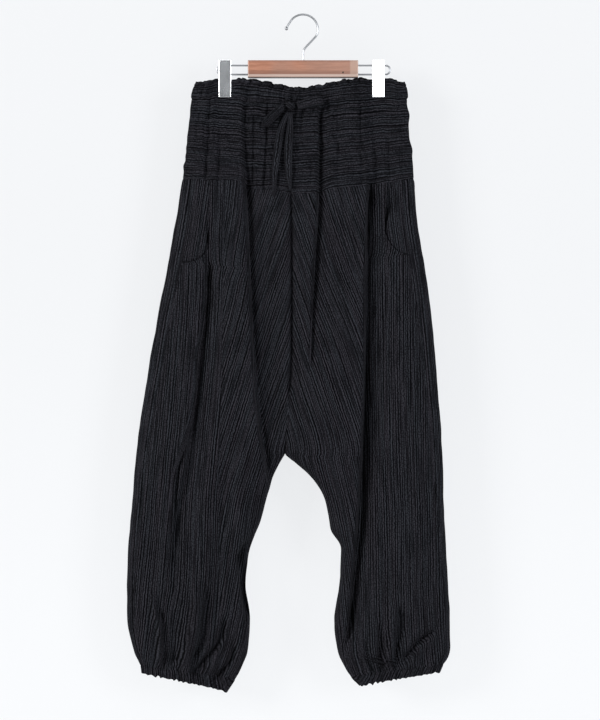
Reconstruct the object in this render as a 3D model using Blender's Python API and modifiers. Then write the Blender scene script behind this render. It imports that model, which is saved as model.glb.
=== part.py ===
"""Harem pants held up by a clip hanger, in metres, with +Z up and the front facing -Y.

The origin is the inside of the hanger's hook at its top, where a rail or a peg carries it.
Left and right are the wearer's own, so left is +X. The tables and named sizes are in
millimetres, and the mesh builders turn them into metres.

The cloth is one tube that splits into two legs at the crotch. skin() gives any point of its
outer face, and each cut piece is a grid of those points with a wall behind them.
"""

import math

import bmesh
import bpy
import numpy as np

MM = 0.001

# Cloth
CLOTH_WALL = 1.2
BAND_WALL = 2.2
SEAM_GAP = 0.3
ROUNDNESS = 2.4

# Stations: distances below the waist's top edge, measured down the side
WAIST_TOP = 0.0
BAND_FOOT = 28.0
YOKE_FOOT = 152.0
CROTCH = 584.0
CUFF_TOP = 906.0
HEM = 918.0

# The depth at which the folds below have their full sizes: they are shallower where it is less
FOLDED_DEPTH = 33.0

# How far above the crotch the front and back start to draw together
CROTCH_REACH = 115.0

# Where the side of the trunk starts to take on a leg's own round, and over what length
LEG_ROUNDS_FROM = 330.0
LEG_ROUNDS_OVER = 380.0

# The side edge of each half: station, x, z
SIDES = {
    "right": [
        (0, -165, -102),
        (28, -171, -129),
        (90, -179, -191),
        (152, -187, -253),
        (216, -197, -317),
        (278, -208, -379),
        (340, -220, -441),
        (402, -232, -503),
        (464, -242, -565),
        (526, -252, -627),
        (584, -259, -685),
        (645, -264, -746),
        (690, -268, -790),
        (735, -271, -835),
        (785, -273, -885),
        (835, -272, -935),
        (870, -266, -970),
        (895, -257, -995),
        (906, -252, -1007),
        (918, -250, -1019),
    ],
    "left": [
        (0, 157, -102),
        (28, 160, -129),
        (90, 167, -191),
        (152, 172, -253),
        (216, 177, -317),
        (278, 187, -379),
        (340, 196, -441),
        (402, 203, -503),
        (464, 208, -565),
        (526, 213, -627),
        (584, 216, -685),
        (645, 218, -746),
        (690, 220, -790),
        (735, 222, -835),
        (785, 225, -885),
        (835, 228, -935),
        (870, 228, -970),
        (895, 225, -993),
        (906, 218, -1005),
        (918, 212, -1017),
    ],
}

# The centre line from the waist to the crotch: station, x, z
CENTRE = [
    (0, -7, -113),
    (28, -8, -141),
    (90, -13, -207),
    (152, -17, -273),
    (278, -17, -395),
    (402, -18, -514),
    (526, -24, -628),
    (584, -28, -681),
]

# The inner edge of each leg from the crotch to the hem: station, x, z
INSEAMS = {
    "right": [
        (584, -28, -681),
        (612, -43, -708),
        (645, -54, -741),
        (690, -65, -783),
        (735, -82, -828),
        (785, -88, -882),
        (835, -82, -936),
        (870, -84, -972),
        (895, -92, -1004),
        (906, -104, -1028),
        (918, -118, -1049),
    ],
    "left": [
        (584, -28, -681),
        (612, 4, -708),
        (645, 28, -738),
        (690, 40, -782),
        (708, 43, -799),
        (735, 58, -826),
        (785, 56, -880),
        (835, 48, -935),
        (870, 51, -972),
        (895, 60, -1001),
        (906, 73, -1024),
        (918, 88, -1040),
    ],
}

# How far the front and the back stand from the hanger's plane: station, front, back
DEPTHS = [
    (0, 15, 14),
    (28, 17, 16),
    (90, 22, 20),
    (152, 26, 24),
    (278, 30, 29),
    (402, 33, 31),
    (584, 34, 32),
    (735, 33, 31),
    (835, 30, 29),
    (895, 20, 20),
    (918, 15, 15),
]

# The side seam, as a share of the way from the centre to the side edge: station, share
SIDE_SEAM = [(0, 0.92), (152, 0.915), (300, 0.89), (600, 0.93), (918, 0.95)]

# Folds that sink into each face. Each runs through three points and is as wide on its right
# and left (-X and +X) as toward_right and toward_left say. It slides sideways by lean, so
# that one side hangs over it, and fades over its first and last millimetres.
FOLD_COLUMNS = (
    "z_top", "x_top", "z_mid", "x_mid", "z_foot", "x_foot",
    "depth", "toward_right", "toward_left", "lean", "fade_in", "fade_out",
)
FRONT_FOLDS = [
    (-140, -153, -200, -155, -262, -158, 4, 7, 10, 0, 40, 30),
    (-140, -130, -200, -131, -262, -132, 4, 6, 8, 0, 40, 30),
    (-120, -90, -200, -88, -300, -86, 9, 7, 14, 0, 40, 40),
    (-130, -60, -200, -62, -262, -64, 4, 8, 8, 0, 40, 40),
    (-130, 24, -230, 24, -470, 12, 10, 8, 15, -2, 30, 180),
    (-130, 54, -200, 54, -262, 55, 4, 8, 9, 0, 40, 40),
    (-140, 84, -200, 86, -262, 88, 4, 9, 9, 0, 40, 40),
    (-130, 137, -200, 137, -262, 138, 4, 7, 8, 0, 40, 30),
    (-285, -18, -450, -17, -640, -23, 6, 13, 16, 0, 60, 60),
    (-255, -84, -480, -76, -745, -52, 13, 10, 26, -4, 60, 160),
    (-385, -145, -590, -166, -830, -200, 13, 11, 30, -4, 60, 220),
    (-255, 104, -500, 98, -950, 64, 19, 10, 27, -5, 60, 120),
    (-700, -128, -850, -138, -1000, -143, 7, 14, 16, 0, 120, 20),
    (-820, -112, -900, -108, -1020, -124, 6, 12, 14, 0, 60, 20),
    (-760, -236, -900, -232, -1000, -222, 5, 12, 14, 0, 90, 20),
    (-720, 128, -880, 130, -1010, 137, 5, 14, 14, 0, 120, 20),
    (-640, 190, -840, 196, -1000, 184, 5, 12, 16, 0, 160, 20),
]
BACK_FOLDS = [
    (-130, -132, -200, -134, -262, -138, 5, 10, 9, 0, 40, 30),
    (-120, -78, -250, -80, -420, -90, 8, 14, 9, 0, 40, 120),
    (-130, -34, -200, -34, -262, -36, 4, 9, 9, 0, 40, 30),
    (-120, 44, -250, 46, -430, 56, 9, 9, 15, 0, 40, 120),
    (-130, 98, -200, 100, -262, 104, 5, 9, 10, 0, 40, 30),
    (-285, -18, -450, -17, -640, -23, 7, 14, 14, 0, 60, 60),
    (-300, -118, -560, -134, -860, -150, 14, 24, 12, 4, 70, 150),
    (-300, 88, -560, 108, -900, 120, 15, 12, 26, -4, 70, 150),
    (-420, -196, -640, -214, -880, -226, 7, 14, 14, 0, 120, 120),
    (-430, 160, -660, 172, -900, 180, 7, 14, 14, 0, 120, 120),
    (-800, -118, -900, -122, -1020, -142, 6, 12, 14, 0, 80, 20),
    (-800, 92, -900, 96, -1010, 112, 6, 14, 12, 0, 80, 20),
]

# Gathers drawn up by the elastic in the waist and the hems
WAIST_GATHERS = 10
WAIST_GATHER_HEIGHTS = [(0, 2.2), (12, 1.2), (28, 1.5), (60, 0.5), (90, 0.0), (918, 0.0)]
RUFFLE_RISE = 1.0
RUFFLE_DROP = 14.0
WAIST_ARCH = 10.0
WAIST_ARCH_DIP = (-3.0, 52.0)
WAIST_ARCH_ENDS = (150.0, 30.0)
WAIST_ARCH_DROP = 30.0
CUFF_GATHERS = 18
CUFF_GATHER_HEIGHTS = [(0, 0.0), (860, 0.0), (893, 0.5), (906, 0.8), (918, 0.9)]
GATHER_DRIFT = 0.012

# Pockets: the opening leaves the yoke, runs down, and turns out to the side seam
POCKET_EDGE = {
    "right": [(150, 0.745), (215, 0.715), (250, 0.69)],
    "left": [(150, 0.775), (190, 0.76), (224, 0.735)],
}
POCKET_TURN = {"right": 250.0, "left": 224.0}
POCKET_FOOT = {"right": 280.0, "left": 268.0}
BAG_FOOT = 345.0
BAG_INNER_SHARE = 0.50
BAG_SWELL = 12.0
BAG_LAP = 0.6

# Hanger
BAR_LENGTH = 171.0
BAR_HEIGHT = 27.0
BAR_THICKNESS = 13.0
BAR_TOP = -70.0
WIRE = 2.8
RAIL_TOP = -77.5
RAIL_SPACING = 14.0
RAIL_ENDS = {"right": -134.5, "left": 136.5}
RAIL_INSERTED = 14.0
BORE_CLEARANCE = 0.3
CLIP_CENTRES = {"right": -121.0, "left": 116.5}
CLIP_WIDTH = 18.6
CLIP_TOP = -69.5
CLIP_FOOT = -127.0
CLIP_PLATE = 1.2
CLIP_MOUTH = 3.3
CARRIER_WIDTH = 8.0
CARRIER_FOOT = -96.0
HOOK_WIRE = 3.2
HOOK_RADIUS = 21.5
HOOK_STEM = 12.0

# Where a clip presses the two faces together
PINCH_HALF_WIDTH = 21.0
PINCH_FULL = 36.0
PINCH_GONE = 135.0
PINCH_LIFT = 6.5

# Drawstring, tied in a bow. Routes run in x, z and the height of the string's centre above the
# cloth. The knot's place is x, z and its middle's height above the cloth.
STRING = 6.0
KNOT = (14.0, 11.0, 13.0)
KNOT_PLACE = (-19.0, -143.0, 5.9)
STRING_ROUTES = {
    "drawstring_strand_right": [(-26.5, -127.5, 2.5), (-25.5, -130, 3.0), (-24.0, -133.6, 4.2)],
    "drawstring_strand_left": [(-11.5, -126.5, 2.6), (-12.5, -130, 3.1), (-14.0, -133.6, 4.2)],
    "drawstring_loop_right": [
        (-29.0, -142, 4.0), (-35, -146, 3.6), (-44, -154, 3.5), (-53, -163, 3.5),
        (-57.5, -168.8, 3.9), (-58.5, -174, 6.5), (-54.5, -172.6, 9.7), (-48, -165.5, 10.2),
        (-39, -156, 10.2), (-30.2, -147.5, 10.4),
    ],
    "drawstring_loop_left": [
        (-8.8, -144.5, 4.0), (-2, -144.5, 3.6), (8, -144.0, 3.5), (18, -143.0, 3.5),
        (26.5, -140.0, 4.0), (28.5, -134, 4.3), (23, -130.0, 4.3), (14, -130, 4.3),
        (4, -132.5, 4.3), (-8.6, -137.5, 4.4),
    ],
    "drawstring_end_right": [
        (-24.0, -152.6, 4.6), (-29.0, -159, 4.0), (-37.0, -176, 3.6), (-40.3, -196, 3.6),
        (-42.6, -218, 3.6), (-44.5, -240, 3.6), (-45.5, -281, 3.6),
    ],
    "drawstring_end_left": [
        (-17.0, -152.6, 4.6), (-17.5, -159, 4.0), (-18.6, -176, 3.6), (-22.2, -196, 3.6),
        (-24.8, -218, 3.6), (-23.5, -240, 3.6), (-19.5, -273, 3.6),
    ],
}
STRING_POINTS = 12

# Grids of points
COLUMNS_INNER = 16
COLUMNS_OUTER = 3
COLUMNS_WRAP = 3
POCKET_INNER_SHARE = 0.63
SAMPLES_PER_GATHER = 4
SAMPLES_PER_CUFF_GATHER = 3
CROWDING = 2.2
HIP_ROWS = {"front": [152, 186], "back": [152, 188, 240, 300, 365]}
POCKET_ROWS = [-0.6, -0.2, 0.19, 0.56, 0.81, 0.953, 1.016]
THIGH_ROWS = {"front": [328, 375], "back": []}
LEG_ROWS = (
    [425, 475, 520, 552, 572, 584, 600, 628, 665, 705, 760, 815, 862, 890, 906]
)

COLOURS = {
    "cotton": ((0.022, 0.022, 0.025), 0.9, 0.0),
    "wood": ((0.33, 0.14, 0.09), 0.35, 0.0),
    "steel": ((0.62, 0.62, 0.63), 0.22, 1.0),
}


# ---------------------------------------------------------------- curves through tables


def along(table, column, at, steady=True):
    """Reads a table's column at any station, on a smooth curve through its rows.

    A steady curve never swings past its rows' own values.
    """
    stations = np.array([row[0] for row in table], float)
    values = np.array([row[column] for row in table], float)
    slopes = np.gradient(values, stations)
    if steady:
        rises = np.diff(values) / np.diff(stations)
        before, after = np.append(rises[0], rises), np.append(rises, rises[-1])
        limit = 3 * np.minimum(np.abs(before), np.abs(after)) * (before * after > 0)
        slopes = np.clip(slopes, -limit, limit)
    at = np.clip(at, stations[0], stations[-1])
    i = np.clip(np.searchsorted(stations, at, side="right") - 1, 0, len(stations) - 2)
    step = stations[i + 1] - stations[i]
    t = (at - stations[i]) / step
    return (
        values[i] * (1 + 2 * t) * (1 - t) ** 2
        + values[i + 1] * t * t * (3 - 2 * t)
        + step * t * (1 - t) * (slopes[i] * (1 - t) - slopes[i + 1] * t)
    )


def eased(t):
    """0 to 1 with a soft start and end."""
    t = np.clip(t, 0, 1)
    return t * t * (3 - 2 * t)


# ---------------------------------------------------------------- the cloth's outer face


def edges(side, station):
    """The inner and side edges of one half of the garment at a station: x, z, x, z."""
    above = station <= CROTCH
    inner_x = np.where(above, along(CENTRE, 1, station), along(INSEAMS[side], 1, station))
    inner_z = np.where(above, along(CENTRE, 2, station), along(INSEAMS[side], 2, station))
    return inner_x, inner_z, along(SIDES[side], 1, station), along(SIDES[side], 2, station)


def swell(share, station):
    """How far the cloth stands out: half the trunk's round above the crotch, a leg's below."""
    into_crotch = np.clip((station - CROTCH + CROTCH_REACH) / CROTCH_REACH, 0, 1)
    at_centre = 1 - np.sqrt(1 - into_crotch**2)
    at_side = eased((station - LEG_ROUNDS_FROM) / LEG_ROUNDS_OVER)
    near_centre = eased((0.6 - share) / 0.4)
    closed = at_centre * near_centre + at_side * (1 - near_centre)
    half = np.clip(1 - share**ROUNDNESS, 0, 1) ** (1 / ROUNDNESS)
    leg = np.clip(1 - np.abs(2 * share - 1) ** ROUNDNESS, 0, 1) ** (1 / ROUNDNESS)
    return (1 - closed) * half + closed * leg


def sunk(folds, x, z):
    """How far the folds take a point inwards, and how far they slide it sideways."""
    depth, slide = np.zeros_like(x), np.zeros_like(x)
    for row in folds:
        fold = dict(zip(FOLD_COLUMNS, row))
        line = [(-fold["z_" + k], fold["x_" + k]) for k in ("top", "mid", "foot")]
        away = x - along(line, 1, -z)
        width = np.where(away < 0, fold["toward_right"], fold["toward_left"])
        strength = eased((fold["z_top"] - z) / fold["fade_in"] + 0.5)
        strength = strength * eased((z - fold["z_foot"]) / fold["fade_out"] + 0.5)
        shape = strength * np.exp(-((away / width) ** 2))
        depth += fold["depth"] * shape
        slide += fold["lean"] * shape
    return depth, slide


def sag(station):
    """How the level lines bend from the centre or the inseam to the side: less at the hems."""
    return 1.3 - 0.55 * eased((station - 850) / 50)


def waist_arch(x, station):
    """The waist stands higher on both sides of its middle, where the clips hold it up."""
    middle, reach = WAIST_ARCH_DIP
    end, fade = WAIST_ARCH_ENDS
    arch = WAIST_ARCH * (1 - np.exp(-(((x - middle) / reach) ** 2)))
    return arch * eased((end - np.abs(x)) / fade) * np.exp(-station / WAIST_ARCH_DROP)


def pinch(x, station):
    """How hard the clips press a point: 1 between their plates, 0 well away from them."""
    reach = eased((PINCH_GONE - station) / (PINCH_GONE - PINCH_FULL))
    pressed = sum(np.exp(-(((x - c) / PINCH_HALF_WIDTH) ** 4)) for c in CLIP_CENTRES.values())
    return np.clip(pressed, 0, 1) * reach


def gathers(around, count):
    """Waves round the opening, a little uneven, with the same phase where the ring closes."""
    return np.cos(2 * np.pi * count * (around + GATHER_DRIFT * np.sin(3 * np.pi * around)))


def skin(side, around, station, gathered=True):
    """A point of the cloth's outer face, with or without the elastic's gathers.

    around runs from 0 at the centre front or the inseam, through 1 at the side edge, to 2 at
    the centre back or the inseam again.
    """
    around, station = np.broadcast_arrays(np.asarray(around, float), np.asarray(station, float))
    outward = 1 if side == "left" else -1
    front = around <= 1
    share = np.where(front, around, 2 - around)
    inner_x, inner_z, side_x, side_z = edges(side, station)
    x = inner_x + (side_x - inner_x) * share
    z = inner_z + (side_z - inner_z) * share ** sag(station)

    full = np.where(front, along(DEPTHS, 1, station), along(DEPTHS, 2, station))
    rise = swell(share, station)
    front_sink, front_slide = sunk(FRONT_FOLDS, x, z)
    back_sink, back_slide = sunk(BACK_FOLDS, x, z)
    sink = np.where(front, front_sink, back_sink)
    slide = np.where(front, front_slide, back_slide)
    pressed = pinch(x, station)
    depth = full * rise * (1 - sink / FOLDED_DEPTH)
    depth = depth * (1 - pressed) + (BAND_WALL + SEAM_GAP / 2) * pressed

    wave = gathers(share, WAIST_GATHERS) * along(WAIST_GATHER_HEIGHTS, 1, station)
    wave = wave + gathers(around, CUFF_GATHERS) * along(CUFF_GATHER_HEIGHTS, 1, station)
    wave = wave * (1 - pressed) * gathered
    facing = np.clip(1.6 * rise, 0, 1)
    depth = depth + wave * facing * (depth > 0)
    sideways = outward * np.where(share < 0.5, -1.0 * (station > CROTCH), 1)
    x = x + slide * rise * (1 - pressed) + sideways * wave * (1 - facing)
    lift = np.exp(-station / 70.0)
    z = z + PINCH_LIFT * pressed * lift
    ruffle = np.clip(1 - station / RUFFLE_DROP, 0, 1)
    heading = RUFFLE_RISE * ruffle * gathers(share + 0.31, 2 * WAIST_GATHERS / 3)
    z = z + heading * (1 - pressed) * gathered
    z = z + waist_arch(x, station) * (1 - pressed)
    y = np.where(front, -1, 1) * (SEAM_GAP / 2 + np.maximum(depth, 0))
    return np.stack([x, y, z], axis=-1)


def front_of_cloth(x, z, reach):
    """The y of the cloth's foremost point within reach of a place, above the crotch."""
    share, station = np.meshgrid(np.linspace(0, 0.5, 121), np.linspace(0, 200, 201))
    cloud = np.concatenate([skin(s, share, station).reshape(-1, 3) for s in ("left", "right")])
    near = np.hypot(cloud[:, 0] - x, cloud[:, 2] - z) < reach
    return float(cloud[near, 1].min())


def laid_on_cloth(route):
    """A string's route in x, y, z, from its rows of x, z and height above the cloth."""
    return [(x, front_of_cloth(x, z, STRING / 2) - height, z) for x, z, height in route]


def outward_normals(side, around, station):
    """The direction straight out of the ungathered cloth at each point."""
    small, step = 1e-4, 0.5
    after, before = np.minimum(around + small, 2), np.maximum(around - small, 0)
    lower, upper = np.minimum(station + step, HEM), np.maximum(station - step, WAIST_TOP)
    across = skin(side, after, station, False) - skin(side, before, station, False)
    down = skin(side, around, lower, False) - skin(side, around, upper, False)
    normals = np.cross(across, down) * (-1 if side == "left" else 1)
    return normals / np.linalg.norm(normals, axis=-1, keepdims=True)


def side_seam(station):
    return along(SIDE_SEAM, 1, station)


def pocket_edge(side, station):
    """The share where the leg's front ends: the pocket's opening, then the side seam."""
    turn_from, foot = POCKET_TURN[side], POCKET_FOOT[side]
    turn = np.clip((station - turn_from) / (foot - turn_from), 0, 1)
    down = along(POCKET_EDGE[side], 1, np.minimum(station, turn_from))
    return down + (side_seam(station) - down) * (1 - np.sqrt(1 - turn**2))


def gap_share(side, station):
    """Half a seam's gap, as a share of the width there."""
    inner_x, _, side_x, _ = edges(side, station)
    return SEAM_GAP / 2 / np.abs(side_x - inner_x)


# ---------------------------------------------------------------- grids of points


def crowded(side, low, high, count, station, folds):
    """Shares from low to high at each station, closest together where folds are steep."""
    inner_x, _, side_x, side_z = edges(side, station)
    share = low + (high - low) * np.linspace(0, 1, 201)[None, :] + 0 * station
    x = inner_x + (side_x - inner_x) * share
    z = np.broadcast_to(side_z, x.shape)
    depth, _ = sunk(folds, x, z)
    slope = np.abs(np.gradient(depth, axis=1) / np.gradient(x, axis=1))
    round_end = 0.6 * np.exp(-(((1 - share) / 0.05) ** 2))
    round_start = 0.6 * np.exp(-((share / 0.05) ** 2)) * (station > CROTCH - CROTCH_REACH)
    density = 1 + CROWDING * np.minimum(slope, 1) + round_end + round_start
    total = np.concatenate(
        [np.zeros_like(station), np.cumsum((density[:, 1:] + density[:, :-1]) / 2, axis=1)], axis=1
    )
    wanted = np.linspace(0, 1, count + 1)
    shares = [np.interp(wanted * t[-1], t, row) for t, row in zip(total, share)]
    smooth = np.array(shares)
    for _ in range(2):
        smooth[1:-1] = (smooth[:-2] + 2 * smooth[1:-1] + smooth[2:]) / 4
    smooth[:, :1] = low
    smooth[:, -1:] = high
    return smooth


def grid(side, around, station, gathered=True):
    """The outer points of one half's grid, and their normals."""
    return skin(side, around, station, gathered), outward_normals(side, around, station)


def parted_at_centre(points, normals, side, station, column):
    """Moves a half's points half a seam's gap from the centre, and keeps its wall on its side."""
    outward = 1 if side == "left" else -1
    moved, turned = points.copy(), normals.copy()
    moved[..., 0] += np.where(station <= CROTCH, SEAM_GAP / 2, 0) * outward
    turned[:, column, 0] = outward * np.minimum(turned[:, column, 0] * outward, 0)
    turned /= np.linalg.norm(turned, axis=-1, keepdims=True)
    return moved, turned


def leg_panel(side, face):
    """The points and normals of a leg's front or back."""
    turn, foot = POCKET_TURN[side], POCKET_FOOT[side]
    pocket = [turn + (foot - turn) * t for t in POCKET_ROWS] if face == "front" else []
    rows = np.array(HIP_ROWS[face] + pocket + THIGH_ROWS[face] + LEG_ROWS, float)
    rows[0] += SEAM_GAP
    rows[-1] -= 2 * SEAM_GAP
    station = rows[:, None]
    if face == "front":
        edge = np.minimum(pocket_edge(side, station), side_seam(station))
        edge = edge - gap_share(side, station)
        inner = crowded(side, 0, POCKET_INNER_SHARE, COLUMNS_INNER, station, FRONT_FOLDS)
        t = np.linspace(0, 1, COLUMNS_OUTER + 1)[None, 1:]
        outer = POCKET_INNER_SHARE + (edge - POCKET_INNER_SHARE) * t
        around = np.concatenate([inner, outer], axis=1)
    else:
        start = side_seam(station) + gap_share(side, station)
        turn = np.sin(np.pi / 2 * np.arange(COLUMNS_WRAP) / COLUMNS_WRAP)[None, :]
        wrap = start + (1 - start) * turn
        columns = COLUMNS_INNER + COLUMNS_OUTER - COLUMNS_WRAP
        back = 2 - crowded(side, 0, 1, columns, station, BACK_FOLDS)[:, ::-1]
        around = np.concatenate([wrap, back], axis=1)
    points, normals = grid(side, around, station, gathered=False)
    return parted_at_centre(points, normals, side, station, 0 if face == "front" else -1)


def ring_part(face, rows, samples):
    """A front or back that runs from side seam to side seam, for the waistband and the yoke."""
    rows = np.array(rows, float)
    rows[0] += SEAM_GAP / 2 * (rows[0] > WAIST_TOP)
    rows[-1] -= SEAM_GAP / 2
    station = rows[:, None]
    halves = []
    for side in ("right", "left"):
        if face == "front":
            edge = side_seam(station) - gap_share(side, station)
            around = np.linspace(0, 1, samples + 1)[None, :] * edge
        else:
            start = side_seam(station) + gap_share(side, station)
            turn = np.sin(np.pi / 2 * np.arange(COLUMNS_WRAP) / COLUMNS_WRAP)[None, :]
            back = 1 + np.concatenate([[0, 0.015], np.linspace(0, 1, samples + 1)[1:]])
            around = np.concatenate(
                [start + (1 - start) * turn, back[None, :] * np.ones_like(station)], axis=1
            )
            around = around[:, ::-1]
        halves.append(grid(side, around, station))
    (right, right_normals), (left, left_normals) = halves
    points = np.concatenate([right[:, :0:-1], left], axis=1)
    normals = np.concatenate([right_normals[:, :0:-1], left_normals], axis=1)
    return points, normals


def cuff_part(side, face, samples):
    """The front or back of a hem's elastic casing."""
    station = np.array([CUFF_TOP + SEAM_GAP / 2, HEM])[:, None]
    if face == "front":
        edge = side_seam(station) - gap_share(side, station)
        around = close_at_both(samples) * edge
    else:
        start = side_seam(station) + gap_share(side, station)
        around = start + (2 - start) * close_at_both(samples)
    return grid(side, around, station)


def close_at_both(samples):
    """Even steps from 0 to 1 with two short ones at each end, where the ring turns."""
    even = np.linspace(0, 1, samples + 1)
    return np.concatenate([[0, 0.004], even[1:-1], [0.996, 1]])[None, :]


def innermost(side, around, station):
    """The y of the outer face where it sinks deepest, just around each point."""
    beside = np.linspace(-0.05, 0.05, 9)[:, None, None, None]
    below = np.linspace(-10, 10, 3)[:, None, None]
    wide = np.clip(around + beside, 0, 1)
    high = np.maximum(station + below, YOKE_FOOT)
    return skin(side, wide, high)[..., 1].max(axis=(0, 1))


def pocket_bag(side):
    """The pocket's bag: a sheet behind the leg's front that comes up to it round its edge."""
    station = np.linspace(YOKE_FOOT + SEAM_GAP / 2, BAG_FOOT, 10)[:, None]
    outer = side_seam(station) - 2 * gap_share(side, station)
    inner = BAG_INNER_SHARE + 0.08 * eased((station - 270) / 75) ** 2
    t = np.linspace(0, 1, 8)[None, :]
    around = inner + (outer - inner) * t
    points = skin(side, around, station)
    down = (station - YOKE_FOOT) / (BAG_FOOT - YOKE_FOOT)
    swelling = np.sin(np.pi * t) ** 1.2 * np.sin(np.pi * np.clip(down, 0, 1) ** 1.5) ** 0.9
    points[..., 1] = innermost(side, around, station) + CLOTH_WALL + BAG_LAP
    points[..., 1] += BAG_SWELL * swelling
    return points, np.broadcast_to([0.0, -1.0, 0.0], points.shape)


# ---------------------------------------------------------------- Blender objects


def material(name):
    """A Principled BSDF of the named colour."""
    found = bpy.data.materials.get(name)
    if found:
        return found
    colour, roughness, metallic = COLOURS[name]
    made = bpy.data.materials.new(name)
    made.use_nodes = True
    shader = made.node_tree.nodes["Principled BSDF"]
    shader.inputs["Base Color"].default_value = (*colour, 1)
    shader.inputs["Roughness"].default_value = roughness
    shader.inputs["Metallic"].default_value = metallic
    return made


def add_object(name, data, finish, collection):
    made = bpy.data.objects.new(name, data)
    collection.objects.link(made)
    if finish:
        data.materials.append(material(finish))
    return made


def add_wall(name, points, normals, thickness, collection):
    """A cloth wall: the outer face, the inner face one thickness behind it, and the rim."""
    rows, columns = points.shape[:2]
    count = rows * columns
    index = np.arange(count).reshape(rows, columns)
    quads = np.stack(
        [index[:-1, :-1], index[:-1, 1:], index[1:, 1:], index[1:, :-1]], axis=-1
    ).reshape(-1, 4)
    loop = np.concatenate([index[0, :-1], index[:-1, -1], index[-1, :0:-1], index[:0:-1, 0]])
    after = np.roll(loop, -1)
    rim = np.stack([after, loop, loop + count, after + count], axis=-1)
    faces = np.concatenate([quads, quads[:, ::-1] + count, rim])
    inner = points - normals * thickness
    vertices = np.concatenate([points.reshape(-1, 3), inner.reshape(-1, 3)]) * MM
    mesh = bpy.data.meshes.new(name)
    mesh.from_pydata(vertices.tolist(), [], faces.tolist())
    work = bmesh.new()
    work.from_mesh(mesh)
    bmesh.ops.recalc_face_normals(work, faces=work.faces)
    work.to_mesh(mesh)
    work.free()
    mesh.shade_smooth()
    return add_object(name, mesh, "cotton", collection)


def add_tube(name, route, diameter, finish, collection, resolution=2):
    """A round wire or cord along a route of points in millimetres."""
    curve = bpy.data.curves.new(name, "CURVE")
    curve.dimensions = "3D"
    curve.bevel_depth = diameter / 2 * MM
    curve.bevel_resolution = resolution
    curve.use_fill_caps = True
    spline = curve.splines.new("POLY")
    spline.points.add(len(route) - 1)
    for point, place in zip(spline.points, route):
        point.co = (*(float(v) * MM for v in place), 1)
    return add_object(name, curve, finish, collection)


def add_block(name, low, high, finish, collection, bevel=0.0):
    """A box between two corners in millimetres, with its edges bevelled."""
    mesh = bpy.data.meshes.new(name)
    work = bmesh.new()
    bmesh.ops.create_cube(work, size=1)
    middle = [(a + b) / 2 * MM for a, b in zip(low, high)]
    size = [(b - a) * MM for a, b in zip(low, high)]
    bmesh.ops.scale(work, vec=size, verts=work.verts)
    work.to_mesh(mesh)
    work.free()
    made = add_object(name, mesh, finish, collection)
    made.location = middle
    if bevel:
        rounding = made.modifiers.new("rounded edges", "BEVEL")
        rounding.width = bevel * MM
        rounding.segments = 2
    return made


def cut_hole(target, start, end, diameter, cutters):
    """Drills a round hole between two points in millimetres."""
    start, end = np.array(start, float), np.array(end, float)
    axis = end - start
    mesh = bpy.data.meshes.new("hole")
    work = bmesh.new()
    bmesh.ops.create_cone(
        work, cap_ends=True, segments=12, radius1=diameter / 2 * MM, radius2=diameter / 2 * MM,
        depth=float(np.linalg.norm(axis)) * MM,
    )
    work.to_mesh(mesh)
    work.free()
    cutter = add_object(target.name + "_hole", mesh, None, cutters)
    cutter.location = tuple((start + end) / 2 * MM)
    if abs(axis[0]) > abs(axis[2]):
        cutter.rotation_euler = (0, math.pi / 2, 0)
    cutter.hide_render = True
    cutter.display_type = "WIRE"
    cut = target.modifiers.new("hole", "BOOLEAN")
    cut.operation = "DIFFERENCE"
    cut.object = cutter


def arc(centre, radius, start, end, count):
    """Points on a circle in the XZ plane, from one angle to another, in degrees."""
    angles = np.radians(np.linspace(start, end, count))
    return [(centre[0] + radius * math.cos(a), 0, centre[1] + radius * math.sin(a)) for a in angles]


def smooth_route(points, count):
    """Evenly numbered points on a smooth curve through a route's own points."""
    points = np.array(points, float)
    lengths = np.concatenate([[0], np.cumsum(np.linalg.norm(np.diff(points, axis=0), axis=1))])
    table = [(length, *point) for length, point in zip(lengths, points)]
    at = np.linspace(0, lengths[-1], count)
    return np.stack([along(table, column, at, steady=False) for column in (1, 2, 3)], axis=-1)


# ---------------------------------------------------------------- pieces


def add_garment(collection):
    front_samples = WAIST_GATHERS * SAMPLES_PER_GATHER
    for face in ("front", "back"):
        points, normals = ring_part(face, [WAIST_TOP, 12, BAND_FOOT], front_samples)
        add_wall("waistband_" + face, points, normals, BAND_WALL, collection)
        points, normals = ring_part(face, [BAND_FOOT, 62, 105, YOKE_FOOT], front_samples)
        add_wall("yoke_" + face, points, normals, CLOTH_WALL, collection)
    for side in ("left", "right"):
        for face in ("front", "back"):
            points, normals = leg_panel(side, face)
            add_wall(f"leg_{face}_{side}", points, normals, CLOTH_WALL, collection)
            points, normals = cuff_part(side, face, CUFF_GATHERS * SAMPLES_PER_CUFF_GATHER)
            add_wall(f"cuff_{face}_{side}", points, normals, CLOTH_WALL, collection)
        points, normals = pocket_bag(side)
        add_wall("pocket_bag_" + side, points, normals, CLOTH_WALL, collection)


def add_drawstring(collection):
    x, z, height = KNOT_PLACE
    place = (x, front_of_cloth(x, z, KNOT[0] / 2) - height, z)
    low = [at - size / 2 for at, size in zip(place, KNOT)]
    high = [at + size / 2 for at, size in zip(place, KNOT)]
    add_block("drawstring_knot", low, high, "cotton", collection, bevel=3.0)
    for name, route in STRING_ROUTES.items():
        count = max(4, STRING_POINTS * len(route) // 7)
        line = smooth_route(laid_on_cloth(route), count)
        add_tube(name, line, STRING, "cotton", collection)


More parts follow.
